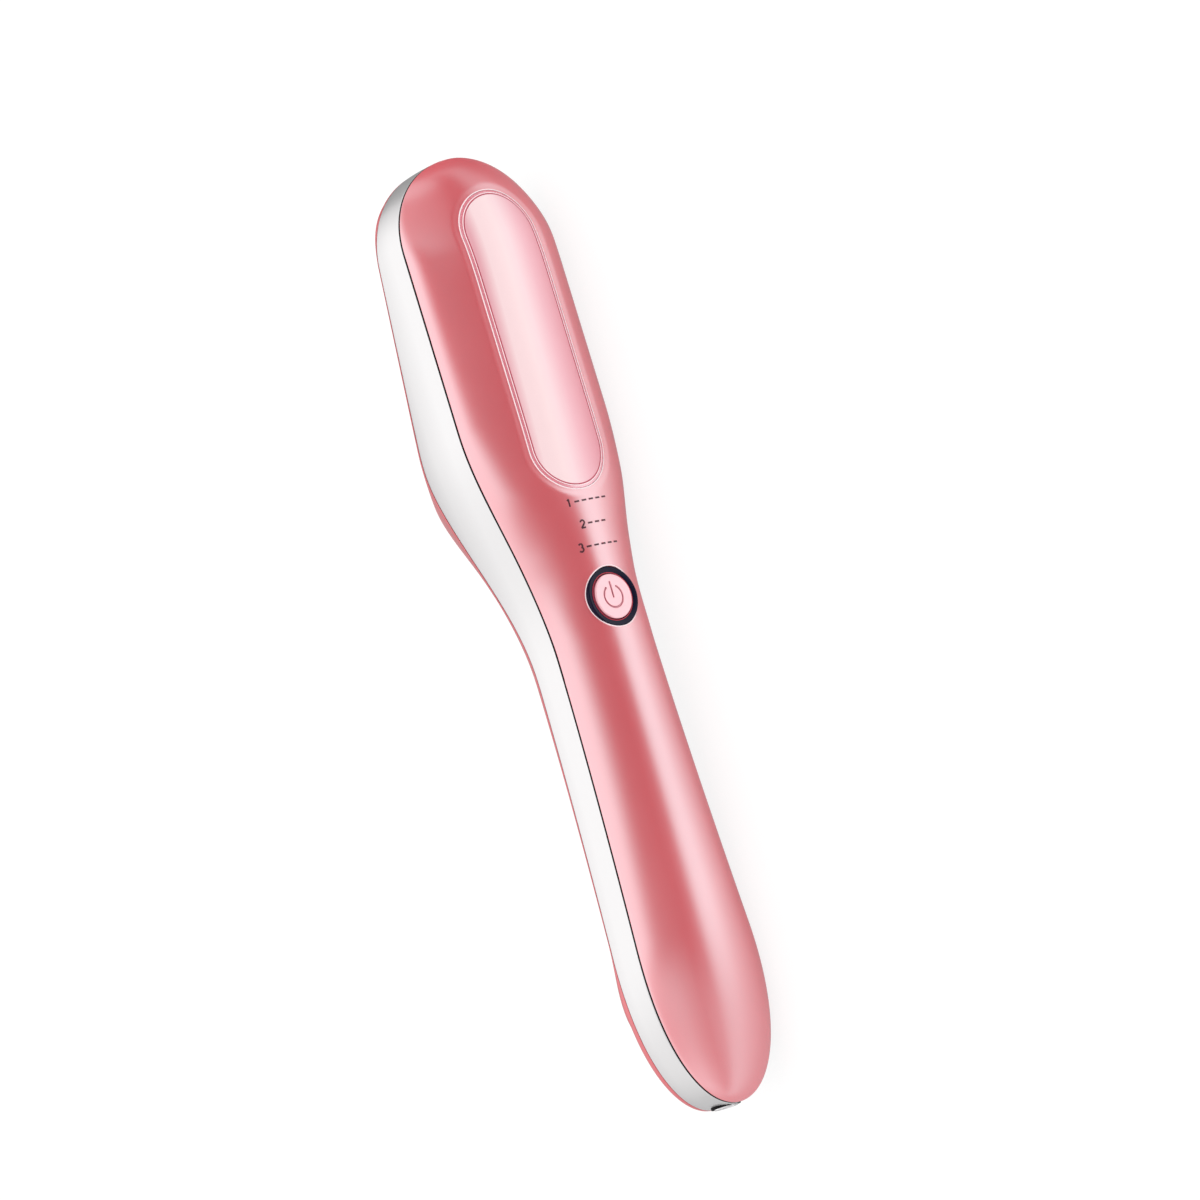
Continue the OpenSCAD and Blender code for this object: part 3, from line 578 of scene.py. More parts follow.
rose_pearl = new_finish("rose_pearl", ((0.96, 0.07, 0.095), (0.98, 0.08, 0.105), 60), (0.27, 0.32, 900),
                        SHELL_GRAIN, IOR=4.5, Specular_Tint=PEARL_GLOW, **CLEAR_COAT)
margin_rose = new_finish("margin_rose", ((0.90, 0.20, 0.26), (0.93, 0.22, 0.28), 60), (0.24, 0.3, 900),
                         IOR=3.4, Specular_Tint=PEARL_GLOW, **CLEAR_COAT)
# The pane's faint pink emission is a painted glow. The colour slope below it paints light and shade: palest in the
# middle, deeper towards its lower side and its upper edge.
pale_pane = new_finish("pale_pane", wear=(0.3, 0.36, 600), IOR=1.5, Coat_Weight=0.25, Coat_Roughness=0.1,
                       Emission_Color=(1, 0.55, 0.58, 1), Emission_Strength=0.01)
add_slope(pale_pane, "Z", PANE_LOW, PANE_HIGH, PANE_LIGHT_AND_SHADE_STOPS)
print("finishes so far:", len(bpy.data.materials))

# %% [markdown]
# ## Lines, ink and the button
# Bevels and parting lines are about a pixel wide, so each is a fine line with a flat finish: a painted highlight
# where an edge catches the light, painted shade where it is a gap. The cap is pearl too, finely turned, with
# painted shade below its face, so that the pressed symbol reads as a drawn line.

# %% The lines' and the button's finishes
CAP_FACE, CAP_SUNK = (float(lay([0, BUTTON_Y, CAP_TOP - drop])[1]) for drop in (0.15, 0.24))

# Finishes for the fine lines: the pale one paints highlights, the deep rose and the crimson ones paint shade in gaps,
# and the red one paints a reflection and shade on the button's ring.
pale_highlight = new_finish("pale_highlight", ((0.95, 0.76, 0.79), (0.97, 0.80, 0.83), 300), (0.35, 0.45, 900), IOR=1.6)
deep_rose = new_finish("deep_rose", ((0.45, 0.06, 0.10), (0.50, 0.08, 0.12), 300), (0.4, 0.5, 900), IOR=1.4)
crimson_gap = new_finish("crimson_gap", ((0.20, 0.02, 0.03), (0.24, 0.03, 0.04), 300), (0.5, 0.6, 900), IOR=1.3)
red_reflection_line = new_finish("red_reflection_line", ((0.50, 0.03, 0.06), (0.55, 0.04, 0.07), 300), (0.35, 0.45, 900), IOR=1.4)
# The black ink is the marks' real print and also paints the shade on the emitter slot's wall.
print_ink_and_slot_shade = new_finish("print_ink_and_slot_shade", ((0.07, 0.02, 0.03), (0.10, 0.03, 0.04), 900), (0.4, 0.5, 1800), IOR=1.4)
cap_pearl = new_finish("cap_pearl", wear=(0.26, 0.32, 900), IOR=2.2, Specular_Tint=(1, 0.95, 0.97, 1), **CLEAR_COAT)
# Painted shade: the cap's colour turns dark below its face, in the pressed symbol and on its rounded edge.
add_slope(cap_pearl, "Y", CAP_FACE, CAP_SUNK, [(0, (0.92, 0.50, 0.55)), (1, (0.50, 0.10, 0.15))])
add_turning(cap_pearl, lay([0, BUTTON_Y, CAP_TOP]), 0.36)
navy_gloss = new_finish("navy_gloss", ((0.004, 0.004, 0.018), (0.006, 0.006, 0.024), 300), (0.3, 0.36, 800),
                        IOR=1.2, Coat_Weight=0.1, Coat_Roughness=0.1)
# The black gasket finish is the seam gasket's own colour, and it also paints shade round and inside the socket's
# eyelet.
black_gasket_and_shade = new_finish("black_gasket_and_shade", ((0.005, 0.004, 0.005), (0.008, 0.007, 0.008), 300), (0.55, 0.7, 900),
                          IOR=1.2)
print("finishes so far:", len(bpy.data.materials))

# %% [markdown]
# ## Silver, coral, lavender and ivory
# The band is satin plating, only partly a mirror, so that it stays silver where it faces something dark, and its
# grey deepens towards its back edge as painted shade. The shell is coral paint with less pearl than the cover,
# plate and rim are lavender with a hint of metal, and the emitter is glazed ivory.

# %% The band's and the back's finishes
satin_silver = new_finish("satin_silver", wear=(0.26, 0.34, 1500), grain=(12000, 0.003, 0.3), Metallic=0.6)
# Painted shade: the band's grey darkens towards its back edge.
add_slope(satin_silver, "Y", -0.002, 0.009,
          [(0, (0.66, 0.655, 0.66)), (0.5, (0.58, 0.575, 0.58)), (1, (0.42, 0.415, 0.42))])
coral_shell = new_finish("coral_shell", ((0.60, 0.075, 0.09), (0.63, 0.085, 0.10), 60), (0.3, 0.36, 900),
                         SHELL_GRAIN, IOR=1.9, Specular_Tint=(1, 0.85, 0.88, 1), **CLEAR_COAT)
lavender_plate = new_finish("lavender_plate", ((0.68, 0.62, 0.68), (0.71, 0.65, 0.71), 50), (0.34, 0.42, 1100),
                            (11000, 0.003, 0.3), Metallic=0.2)
ivory_ceramic = new_finish("ivory_ceramic", ((0.84, 0.80, 0.77), (0.88, 0.85, 0.82), 120), (0.28, 0.4, 2000),
                           **CLEAR_COAT)
bright_chrome = new_finish("bright_chrome", ((0.80, 0.79, 0.80), (0.86, 0.85, 0.86), 200), (0.06, 0.12, 2500),
                           Metallic=1.0)
print("outer finishes:", len(bpy.data.materials))

# %% [markdown]
# ## The front cover
# One moulded shell with openings for the window and the button. A Boolean would leave ragged edges and long
# thin faces, which show in a gloss. So the skin is a ring round the window, a ring round the button and a grid
# down the handle. Each column of a ring starts on the hole, which makes the hole exactly round.

# %% Openings and cut lines
WINDOW_Y, WINDOW_RUN, WINDOW_R = 151.0, 42.8, 9.1
WINDOW_LOW, WINDOW_HIGH = WINDOW_Y - WINDOW_RUN / 2, WINDOW_Y + WINDOW_RUN / 2
RING_R, RING_FIT = 5.95, 0.1
BUTTON_HOLE = RING_R + RING_FIT
UPPER_LINE, LOWER_LINE = 112.5, 86.0
ACROSS = 96
EDGE_R, HOLE_EDGE_R = 0.07, 0.15
DISH, DISH_REACH = 0.3, 1.7


def section_line(y, side, crowd, count):
    """Line across at y, denser at both edges: the half width times minus the cosine of an angle."""
    q = np.linspace(0, 1, count + 1)
    angle = pi * (q - crowd * np.sin(2 * pi * q))
    return as_points(-side(y) * np.cos(angle), np.full(count + 1, y))


def cover_line(y):
    """Line across the cover at y."""
    return section_line(y, half_width, 0.14, ACROSS)


def right_edge(side, y):
    """Right edge of an outline at each y, from its half width."""
    return as_points(side(y), y)


def mirrored(points):
    """The same points on the left, in reverse order."""
    return points[::-1] * [-1, 1]


def ring_patch(outer, core_low, core_high, radius, rows=66, collar=(0, 0.04, 0.1, 0.18, 0.3, 0.5), squeeze=1.0):
    """Rings from a pill's edge to an outer loop: each column starts on the line from the pill's core to
    its outer point, takes a few collar steps, then runs straight outwards in shrinking steps."""
    core = as_points(0 * outer[:, 0], np.clip(outer[:, 1], core_low, core_high))
    way = outer - core
    way[:, 1] /= squeeze
    way = unit(way)
    way[:, 1] *= squeeze
    rims = [core + way * (radius + step_out) for step_out in collar]
    q = np.linspace(0, 1, rows)[1:, None, None]
    share = 1 - (1 - q) ** 2.2
    return np.concatenate([np.stack(rims), rims[-1] + (outer - rims[-1]) * share])


def collar_field(plan, core_low, core_high, radius, squeeze=1.0):
    """Distance of plan points from a pill's edge."""
    y = (plan[..., 1] - np.clip(plan[..., 1], core_low, core_high)) / squeeze
    return np.hypot(plan[..., 0], y) - radius


# %% The cover's face


def seam_lip(points, radius):
    """Rounds the cover's lower edge: points near the seam move inwards by a quarter circle."""
    x, y, z = np.moveaxis(points, -1, 0)
    shift = rounding(z - seam_z(y), radius)[..., None] * unit(slope(body_room, x, y))
    return raised(points[..., :2] + shift, z)


def window_dish(x, y):
    """Drop round the window: a shallow bevel down to the pane, from its reach outside it inwards."""
    beyond = y - np.clip(y, WINDOW_LOW, WINDOW_HIGH)
    return DISH * ramp(1 - (np.hypot(x, beyond) - WINDOW_R) / DISH_REACH)


def front_height(x, y):
    """The cover with the window's dish taken off it."""
    return cover_height(x, y) - window_dish(x, y)


def cover_points(plan, hole_edge=None):
    """Plan points lifted onto the cover, rounded at the hole and at the seam."""
    z = front_height(plan[..., 0], plan[..., 1])
    if hole_edge is not None:
        z = z - rounding(hole_edge, HOLE_EDGE_R)
    return seam_lip(raised(plan, z), EDGE_R)


def holed_cover(loop, core_low, core_high, radius, rows):
    """A ring patch of the cover from a hole to a loop, rounded at the hole."""
    plan = ring_patch(loop, core_low, core_high, radius, rows)
    return patch(cover_points(plan, collar_field(plan, core_low, core_high, radius)), close_columns=True)


def shrunk(points):
    """Inner face of a cover wall: the outer one shrunk towards the middle line and the seam."""
    x, y, z = np.moveaxis(points, -1, 0)
    return as_points(0.9 * x, 95 + 0.987 * (y - 95), seam_z(y) + 0.8 * (z - seam_z(y)))


# %% The cover's three patches
tip_turn = np.sin(np.linspace(0, pi / 2, 130))
tip_side = right_edge(half_width, UPPER_LINE + (HEAD_TIP - UPPER_LINE) * tip_turn)
head_loop = np.concatenate([cover_line(UPPER_LINE), tip_side[1:], mirrored(tip_side)[1:-1]])
head_patch = holed_cover(head_loop, WINDOW_LOW, WINDOW_HIGH, WINDOW_R, 66)

button_side = right_edge(half_width, np.linspace(LOWER_LINE, UPPER_LINE, 60))
button_loop = np.concatenate([cover_line(LOWER_LINE), button_side[1:], cover_line(UPPER_LINE)[::-1][1:],
                              mirrored(button_side)[1:-1]])
button_patch = holed_cover(button_loop, BUTTON_Y, BUTTON_Y, BUTTON_HOLE, 56)

tail_turn = 1 - np.cos(np.linspace(0, pi / 2, 120))
tail_lines = [cover_line(y) for y in TAIL_TIP + (LOWER_LINE - TAIL_TIP) * tail_turn]
tail_patch = patch(cover_points(np.stack(tail_lines[::-1])))

make("front_skin", walled(*joined(head_patch, button_patch, tail_patch), shrunk), rose_pearl,
     nodes=("front_cover",))

# %% [markdown]
# ## The window
# A paler pane let flush into the cover, in a narrow rose margin. Both are stacks of pill shaped loops, whose
# heights come from the cover's formula, so they follow its crown. Fine lines mark the edges: pale painted
# highlights, and a deep rose line of painted shade in the groove round the pane.

# %% The window's pane and its margin
PANE_R, PANE_T = 8.1, 1.0
MARGIN_LOW, MARGIN_HIGH, MARGIN_EDGE = 8.2, 8.95, 0.07


def pill_loop(core_y, run, radius):
    """Closed plan loop of a pill: its core plus the radius in the outward directions."""
    way, share = pill_directions()
    return as_points(0 * share, core_y + share * run / 2) + way * radius


def pill_stack(radii, drops):
    """Pill loops round the window, each lowered from the cover's face by its drop."""
    plan = np.stack([pill_loop(WINDOW_Y, WINDOW_RUN, radius) for radius in radii])
    return raised(plan, front_height(plan[..., 0], plan[..., 1]) - np.array(drops)[:, None])


pane_grid = pill_stack([0, 1.5, 3, 4.5, 6, 7, 7.7, 8.0, 8.07, PANE_R, PANE_R, 7, 3, 0],
                       [0, 0, 0, 0, 0, 0, 0, 0.01, 0.04, 0.12, PANE_T, PANE_T, PANE_T, PANE_T])
make("window_pane", patch(pane_grid, close_columns=True), pale_pane, nodes=("window_lens",))
margin_grid = pill_stack([MARGIN_LOW, MARGIN_LOW, MARGIN_LOW + MARGIN_EDGE, 8.6, MARGIN_HIGH - MARGIN_EDGE,
                          MARGIN_HIGH, MARGIN_HIGH], [PANE_T, MARGIN_EDGE, 0, 0, 0, MARGIN_EDGE, PANE_T])
make("window_margin", tube(margin_grid), margin_rose, slot="window_lens")

# %% Fine lines on a skin


def loop_outwards(loop):
    """Outward directions of a closed plan loop: its tangent turned by a quarter."""
    tangent = np.roll(loop, -1, axis=0) - np.roll(loop, 1, axis=0)
    return unit(as_points(tangent[:, 1], -tangent[:, 0]))


def fine_line(name, loop, offset, width, lift, height, material, slot):
    """A closed line of colour on a skin: the loop moved outwards, given a width and a low arch."""
    across = np.linspace(-1, 1, 7)[:, None]
    plan = loop + loop_outwards(loop) * (offset + width / 2 * across)[..., None]
    face = height(plan[..., 0], plan[..., 1])
    top, under = raised(plan, face + lift * (1 - across ** 2)), raised(plan, face - 0.12)
    make(name, tube(np.concatenate([top, under[::-1]])), material, slot=slot)


pane_edge = pill_loop(WINDOW_Y, WINDOW_RUN, PANE_R)
# Painted lines round the pane: a deep rose one of painted shade in the groove, and two pale painted highlights on the
# edges.
fine_line("pane_groove", pane_edge, 0.05, 0.24, 0.015, front_height, deep_rose, "window_lens")
fine_line("pane_glint", pane_edge, 0.27, 0.16, 0.02, front_height, pale_highlight, "window_lens")
fine_line("window_glint", pane_edge, 1.0, 0.2, 0.02, front_height, pale_highlight, "front_cover")

# %% [markdown]
# ## Gasket and band
# The gasket is a black line in the seam, the band a plated strip with a slightly crowned face, which softens
# its highlight. Both are a section carried along the silhouette. A curve with a bevel profile could do it, but
# the band's depth changes on the way, and a section in numbers can follow.

# %% The silhouette as a closed path
ROUND = 640


def silhouette():
    """Points round the silhouette with their inward directions: y by a cosine, x by the half width."""
    angle = np.linspace(0, 2 * pi, ROUND, endpoint=False)
    y = TAIL_TIP + (HEAD_TIP - TAIL_TIP) / 2 * (1 - np.cos(angle))
    x = half_width(y) * np.sign(pi - angle)
    x[[0, ROUND // 2]] = 0
    spots = as_points(x, y)
    tangent = np.roll(spots, -1, axis=0) - np.roll(spots, 1, axis=0)
    return spots, unit(as_points(-tangent[:, 1], tangent[:, 0]))


def strip_round(insets, depths):
    """A section carried round the silhouette; insets and depths under the seam hold one column per point."""
    spots, inward = silhouette()
    plan = spots[None] + inward[None] * insets[..., None]
    return tube(raised(plan, seam_z(spots[:, 1])[None] - depths))


# %% The gasket
GASKET_H, GASKET_INSET, GASKET_W, GASKET_EDGE = 0.5, 0.02, 1.2, 0.04
every = np.ones(ROUND)
gasket_section = np.array([[GASKET_EDGE, 0], [0, 0.03], [0, 0.2], [0, 0.47], [GASKET_EDGE, GASKET_H],
                           [GASKET_W, GASKET_H], [GASKET_W, 0]])
gasket_insets, gasket_depths = gasket_section[:, :1] * every, gasket_section[:, 1:] * every
make("gasket_line", strip_round(gasket_insets + GASKET_INSET, gasket_depths), black_gasket_and_shade, nodes=("seam_gasket",))

# %% The band
BAND_WALL, BAND_CROWN, BAND_TOP_R, BAND_FOOT_R = 1.2, 0.2, 0.05, 0.15
path_y = silhouette()[0][:, 1]
share = np.linspace(0, 1, 41)[:, None]
face_run = (band_depth(path_y) + seam_z(path_y))[None] - GASKET_H
corner = rounding(share * face_run, BAND_TOP_R) + rounding((1 - share) * face_run, BAND_FOOT_R)
band_insets = np.concatenate([BAND_CROWN * share ** 3 + corner, np.full((2, ROUND), BAND_WALL)])
band_depths = np.concatenate([GASKET_H + share * face_run, GASKET_H + face_run, GASKET_H + 0 * face_run])
make("band_skin", strip_round(band_insets, band_depths), satin_silver, nodes=("side_band",))

# %% [markdown]
# ## The back shell
# The emitter side's moulding rises from the band to the plate like a rounded hip roof. Lofted sections would
# bunch at the noses, so it is one ring between two closed curves, the silhouette outside and the plate's
# opening inside.

# %% The back shell's skin
PLATE_BEVEL, PLATE_BEVEL_RUN = 0.25, 0.9
FOOT_TURN, FOOT_RUN = 0.2, 0.7


def plate_half(y):
    """Half width of the plate with its round ends."""
    return plate_side(y) * plate_share(y)


def closed_outline(side, low, high):
    """An outline from a half width: up the right side by a cosine of an angle, back down the left."""
    spread = 1 - np.cos(np.linspace(0, pi, 361))
    right = right_edge(side, low + (high - low) * spread / 2)
    return np.concatenate([right, mirrored(right)[1:-1]])


def shell_height(x, y):
    """The shell's face, upright z, with a small bevel down to the plate's opening."""
    gap = -edge_distance(plate_room, x, y)
    return PLATE_BEVEL * np.clip(1 - gap / PLATE_BEVEL_RUN, 0, 1) ** 2 - shell_depth(x, y)


def shell_inside(points):
    """Inner face of the shell: the outer one shrunk towards the middle line and the band's edge."""
    x, y, z = np.moveaxis(points, -1, 0)
    low = -band_depth(y)
    return as_points(0.93 * x, 95 + 0.987 * (y - 95), low + 0.85 * (z - low))


opening = closed_outline(plate_half, PLATE_LOW, PLATE_HIGH)
foot = closed_outline(half_width, TAIL_TIP, HEAD_TIP)
spread = 0.5 - 0.5 * np.cos(pi * np.linspace(0, 1, 60)[:, None, None])
shell_plan = opening + (foot - opening) * spread
shell_x, shell_y = shell_plan[..., 0], shell_plan[..., 1]
shell_z = shell_height(shell_x, shell_y)
foot_gap = edge_distance(body_room, shell_x, shell_y)[..., None]
turned_in = FOOT_TURN * np.clip(1 - foot_gap / FOOT_RUN, 0, 1) ** 2
shell_plan = shell_plan + unit(slope(body_room, shell_x, shell_y)) * turned_in
shell_skin = patch(raised(shell_plan, shell_z), close_columns=True)
make("back_skin", walled(*shell_skin, shell_inside), coral_shell, nodes=("back_shell",))
# A crimson line of painted shade in the gap round the plate, and a pale painted highlight on the bevel beside it.
fine_line("plate_gap", opening, 0.02, 0.26, 0.01, shell_height, crimson_gap, "back_shell")
fine_line("shell_glint", opening, 0.55, 0.5, 0.015, shell_height, pale_highlight, "back_shell")

# %% [markdown]
# ## The back plate
# A long tongue let into the back shell, narrow along the handle and wide round the emitter, with a pill
# shaped opening in its tilted head. It takes a grid for the tongue and a ring for the head, as the cover
# does. A bell curve of the distance from the rim lays a faint groove round it.

# %% The plate's patches
PLATE_CUT, PLATE_T, PLATE_EDGE_R = 118.0, 1.1, 0.3
RIM_R, RIM_RUN = 6.05, 40.0
GROOVE, GROOVE_AWAY, GROOVE_WIDE = 0.3, 1.4, 0.9
TILT_SHARE = cos(HEAD_TILT)
SLOT_LOW, SLOT_HIGH = HEAD_Y - RIM_RUN / 2 * TILT_SHARE, HEAD_Y + RIM_RUN / 2 * TILT_SHARE


def plate_points(plan):
    """Plan points on the plate's face: the back line, rounded at its edge, grooved round the rim."""
    x, y = plan[..., 0], plan[..., 1]
    rim_gap = collar_field(plan, SLOT_LOW, SLOT_HIGH, RIM_R, TILT_SHARE)
    depth = back_depth(y) - rounding(edge_distance(plate_room, x, y), PLATE_EDGE_R)
    return raised(plan, GROOVE * np.exp(-((rim_gap - GROOVE_AWAY) / GROOVE_WIDE) ** 2) - depth)


def plate_line(y):
    """Line across the plate at y."""
    return section_line(y, plate_half, 0.1, 48)


plate_turn = np.sin(np.linspace(0, pi / 2, 110))
plate_tip = right_edge(plate_half, PLATE_CUT + (PLATE_HIGH - PLATE_CUT) * plate_turn)
plate_loop = np.concatenate([plate_line(PLATE_CUT), plate_tip[1:], mirrored(plate_tip)[1:-1]])
rim_plan = ring_patch(plate_loop, SLOT_LOW, SLOT_HIGH, RIM_R - 0.3, rows=44,
                      collar=(0, 0.15, 0.4, 0.8, 1.2, 1.6, 2.0), squeeze=TILT_SHARE)
tongue_turn = 1 - np.cos(np.linspace(0, pi / 2, 150))
tongue_lines = [plate_line(y) for y in PLATE_LOW + (PLATE_CUT - PLATE_LOW) * tongue_turn]
plate_face = joined(patch(plate_points(rim_plan), close_columns=True),
                    patch(plate_points(np.stack(tongue_lines[::-1]))))
make("plate_skin", walled(*plate_face, lambda points: points + [0, 0, PLATE_T]), lavender_plate,
     nodes=("back_plate",))

# %% [markdown]
# ## Emitter
# On the tilted head a raised rim frames a slot, and a pale ceramic strip closes its floor. All are sections
# carried round one pill in the head's own coordinates. The slot's wall lies in its own shadow, which a soft
# studio would fill, so that shade is painted on a dark piece of its own.

# %% Pieces on the tilted head
RIM_H, RIM_EDGE_R, SLOT_R, HOLDER_TOP = 1.0, 0.4, 3.7, -1.2
CERAMIC_TOP, CERAMIC_T, CERAMIC_R = 0.1, 0.9, 3.65


def on_head(points):
    """Head coordinates, across, along and out of the plate, to upright ones: a tilt and a shift."""
    x, run, lift = np.moveaxis(points, -1, 0)
    y = HEAD_Y + run * cos(HEAD_TILT) + lift * sin(HEAD_TILT)
    z = -HEAD_BACK + run * sin(HEAD_TILT) - lift * cos(HEAD_TILT)
    return as_points(x, y, z)


def slot_sweep(section):
    """A section of radius and lift carried round the slot's core on the tilted head."""
    radius, lift = np.asarray(section, float).T
    plan = np.stack([pill_loop(0, RIM_RUN, one_radius) for one_radius in radius])
    return on_head(raised(plan, lift[:, None] + 0 * plan[..., 0]))


rim_section = rounded_ring(SLOT_R, RIM_R, HOLDER_TOP, RIM_H, RIM_EDGE_R)
make("rim_ring", tube(slot_sweep(rim_section)), lavender_plate, nodes=("emitter_bezel",))
# The slot's wall is painted shade: a dark piece where the wall lies in its own shadow.
wall_section = [(SLOT_R - 0.06, 0), (SLOT_R - 0.06, 0.55), (SLOT_R + 0.04, 0.6), (SLOT_R + 0.04, 0)]
make("slot_wall", tube(slot_sweep(wall_section)), print_ink_and_slot_shade, slot="emitter_bezel")
ceramic_section = [(0, CERAMIC_TOP), (1.5, CERAMIC_TOP), (3, CERAMIC_TOP), (3.5, CERAMIC_TOP),
                   (CERAMIC_R, CERAMIC_TOP - 0.1), (CERAMIC_R, CERAMIC_TOP - 0.8), (3, CERAMIC_TOP - CERAMIC_T),
                   (0, CERAMIC_TOP - CERAMIC_T)]
make("ceramic_strip", patch(slot_sweep(ceramic_section), close_columns=True), ivory_ceramic,
     nodes=("ceramic_emitter",))

# %% [markdown]
# ## Button and its ring
# The ring is turned, its top leaning inwards, so that it catches a soft light on one side only. The cap is a
# fan of rings, and the points near the power symbol's lines are pressed in. A Boolean would leave long faces
# on a gloss.

# %% The button's ring
CAP_R, RING_BORE, RING_TOP, RING_H, RING_EDGE_R, RING_LEAN = 4.45, 4.55, 8.35, 2.5, 0.3, 0.35
ring_profile = rounded_ring(RING_BORE, RING_R, RING_TOP - RING_H, RING_TOP, RING_EDGE_R)
from_rim = ramp((RING_R - ring_profile[:, 0]) / (RING_R - RING_BORE))
ring_profile[:, 1] -= RING_LEAN * from_rim * (ring_profile[:, 1] > RING_TOP - RING_H / 2)
ring_points, ring_quads = lathe(ring_profile)
make("navy_ring", (ring_points + [0, BUTTON_Y, 0], ring_quads), navy_gloss, nodes=("button_ring",))
around = np.linspace(0, 2 * pi, 160, endpoint=False)
ring_loop = as_points(RING_R * np.cos(around), BUTTON_Y + RING_R * np.sin(around))
# A pale painted highlight round the ring's outer edge, and a red line of painted reflection and shade on its inner
# lean.
fine_line("ring_glint", ring_loop, 0.08, 0.2, 0.03, front_height, pale_highlight, "front_cover")
fine_line("ring_blush", ring_loop, RING_BORE + 0.22 - RING_R, 0.26, 0.02,
          lambda x, y: RING_TOP - RING_LEAN + 0 * x, red_reflection_line, "button_ring")

# %% The button's cap
SYMBOL_R, SYMBOL_W, SYMBOL_OPEN, SYMBOL_DEPTH = 2.2, 0.38, radians(70), 0.25
BAR_LOW, BAR_HIGH = -0.1, 2.8
CAP_EDGE_R, CAP_DISH, CAP_FOOT = 0.35, 0.12, 6.6


def symbol_distance(x, y):
    """Distance to the power symbol's middle lines: an open circle and a short upright bar."""
    half_open = SYMBOL_OPEN / 2
    to_end = np.hypot(np.abs(x) - sin(half_open) * SYMBOL_R, y - cos(half_open) * SYMBOL_R)
    on_arc = np.abs(np.hypot(x, y) - SYMBOL_R)
    arc = np.where(np.abs(np.arctan2(x, y)) > half_open, on_arc, to_end)
    return np.minimum(arc, np.hypot(x, y - np.clip(y, BAR_LOW, BAR_HIGH)))


def ring_rows(radius, height, angle):
    """Rows of points on circles, one row for each radius, with their heights."""
    return as_points(radius[:, None] * np.sin(angle), radius[:, None] * np.cos(angle), height)


face_end = CAP_R - CAP_EDGE_R
radial = np.concatenate([np.linspace(0, 3.05, 96)[:-1], np.linspace(3.05, face_end, 8)])
angle = np.linspace(0, 2 * pi, 320, endpoint=False)
top_x, top_y = radial[:, None] * np.sin(angle), radial[:, None] * np.cos(angle)
pressed = SYMBOL_DEPTH * ramp((SYMBOL_W / 2 + 0.05 - symbol_distance(top_x, top_y)) / 0.12)
top_z = CAP_TOP - CAP_DISH * (1 - (np.hypot(top_x, top_y) / CAP_R) ** 2) - pressed
edge_turn = np.linspace(0, pi / 2, 8)[1:]
edge_r = np.concatenate([face_end + CAP_EDGE_R * np.sin(edge_turn), [CAP_R, CAP_R - 0.3, 2, 0]])
edge_z = np.concatenate([CAP_TOP - CAP_EDGE_R + CAP_EDGE_R * np.cos(edge_turn) - 0.015,
                         [7.0, CAP_FOOT, CAP_FOOT, CAP_FOOT]])
cap_grid = np.concatenate([ring_rows(radial, top_z, angle), ring_rows(edge_r, edge_z[:, None] + 0 * angle, angle)])
make("cap_face", patch(cap_grid + [0, BUTTON_Y, 0], close_columns=True), cap_pearl, body="button",
     nodes=("power_button",))

# %% [markdown]
# ## Marks over the button
# Three small printed marks: the numerals one to three, each with a few dashes. Text objects would bring a
# typeface and flat letters, so a stroke is a narrow ribbon along a path, laid on the crown with a thin wall.

# %% Strokes of print
INK_W, INK_LIFT, INK_T = 0.34, 0.03, 0.1
NUMERAL_SIZE, DASH_HALF, DASH_PITCH = 0.95, 0.55, 1.75


def arc(middle_y, radius, start, end):
    """Points on an arc about the numeral's middle line, its angles in degrees from +x."""
    turned = np.radians(np.linspace(start, end, 14))
    return as_points(radius * np.cos(turned), middle_y + radius * np.sin(turned))


def stroke(path, place, size):
    """A ribbon along a path: its points moved to both sides by half the ink's width, laid on the cover."""
    path = np.asarray(path, float) * size + place
    tangent = np.gradient(path, axis=0)
    side = unit(as_points(-tangent[:, 1], tangent[:, 0]))
    plan = np.stack([path - side * INK_W / 2, path + side * INK_W / 2])
    z = front_height(plan[..., 0], plan[..., 1]) + INK_LIFT
    return walled(*patch(raised(plan, z)), lambda points: points - [0, 0, INK_T])


numerals = [
    [[[-0.3, 0.45], [0, 0.75]], [[0, 0.8], [0, -0.8]]],
    [np.concatenate([arc(0.35, 0.45, 170, -35), [[-0.45, -0.75]]]), [[-0.5, -0.75], [0.5, -0.75]]],
    [arc(0.4, 0.4, 150, -80), arc(-0.36, 0.46, 80, -150)],
]
marks = []
for numeral, dashes, mark_y in zip(numerals, (5, 3, 5), (118.2, 113.7, 109.3)):
    start_x = -0.85 * dashes
    marks += [stroke(path, [start_x, mark_y], NUMERAL_SIZE) for path in numeral]
    marks += [stroke([[-DASH_HALF, 0], [DASH_HALF, 0]], [start_x + DASH_PITCH * (place + 1), mark_y], 1.0)
              for place in range(dashes)]
make("print_marks", joined(*marks), print_ink_and_slot_shade, slot="front_cover")

# %% [markdown]
# ## Socket's eyelet
# A bright turned ring round the charging socket. A black ring under it is painted shade, the dark recess that
# draws its outline, and a black liner paints the shade in its bore and the dark of the socket behind it. All are
# turned about the wand's long axis. The band's skin has no opening here, unlike the construction model's band,
# so it shows inside the ring where the real socket is dark.

# %% The eyelet
EYELET_Z, EYELET_HOLE, EYELET_R, EYELET_IN = -3.9, 1.8, 2.4, -1.3


def tip_ring(name, inner, outer, low, high, radius, material, **place):
    """A ring turned about the wand's long axis at the tail tip, its heights counted outwards."""
    points, quads = lathe(rounded_ring(inner, outer, low, high, radius), 96)
    upright = as_points(points[:, 0], -points[:, 2], points[:, 1] + EYELET_Z)
    make(name, (upright, quads), material, **place)


tip_ring("eyelet_ring", EYELET_HOLE, EYELET_R, EYELET_IN, 0.2, 0.2, bright_chrome, nodes=("port_eyelet",))
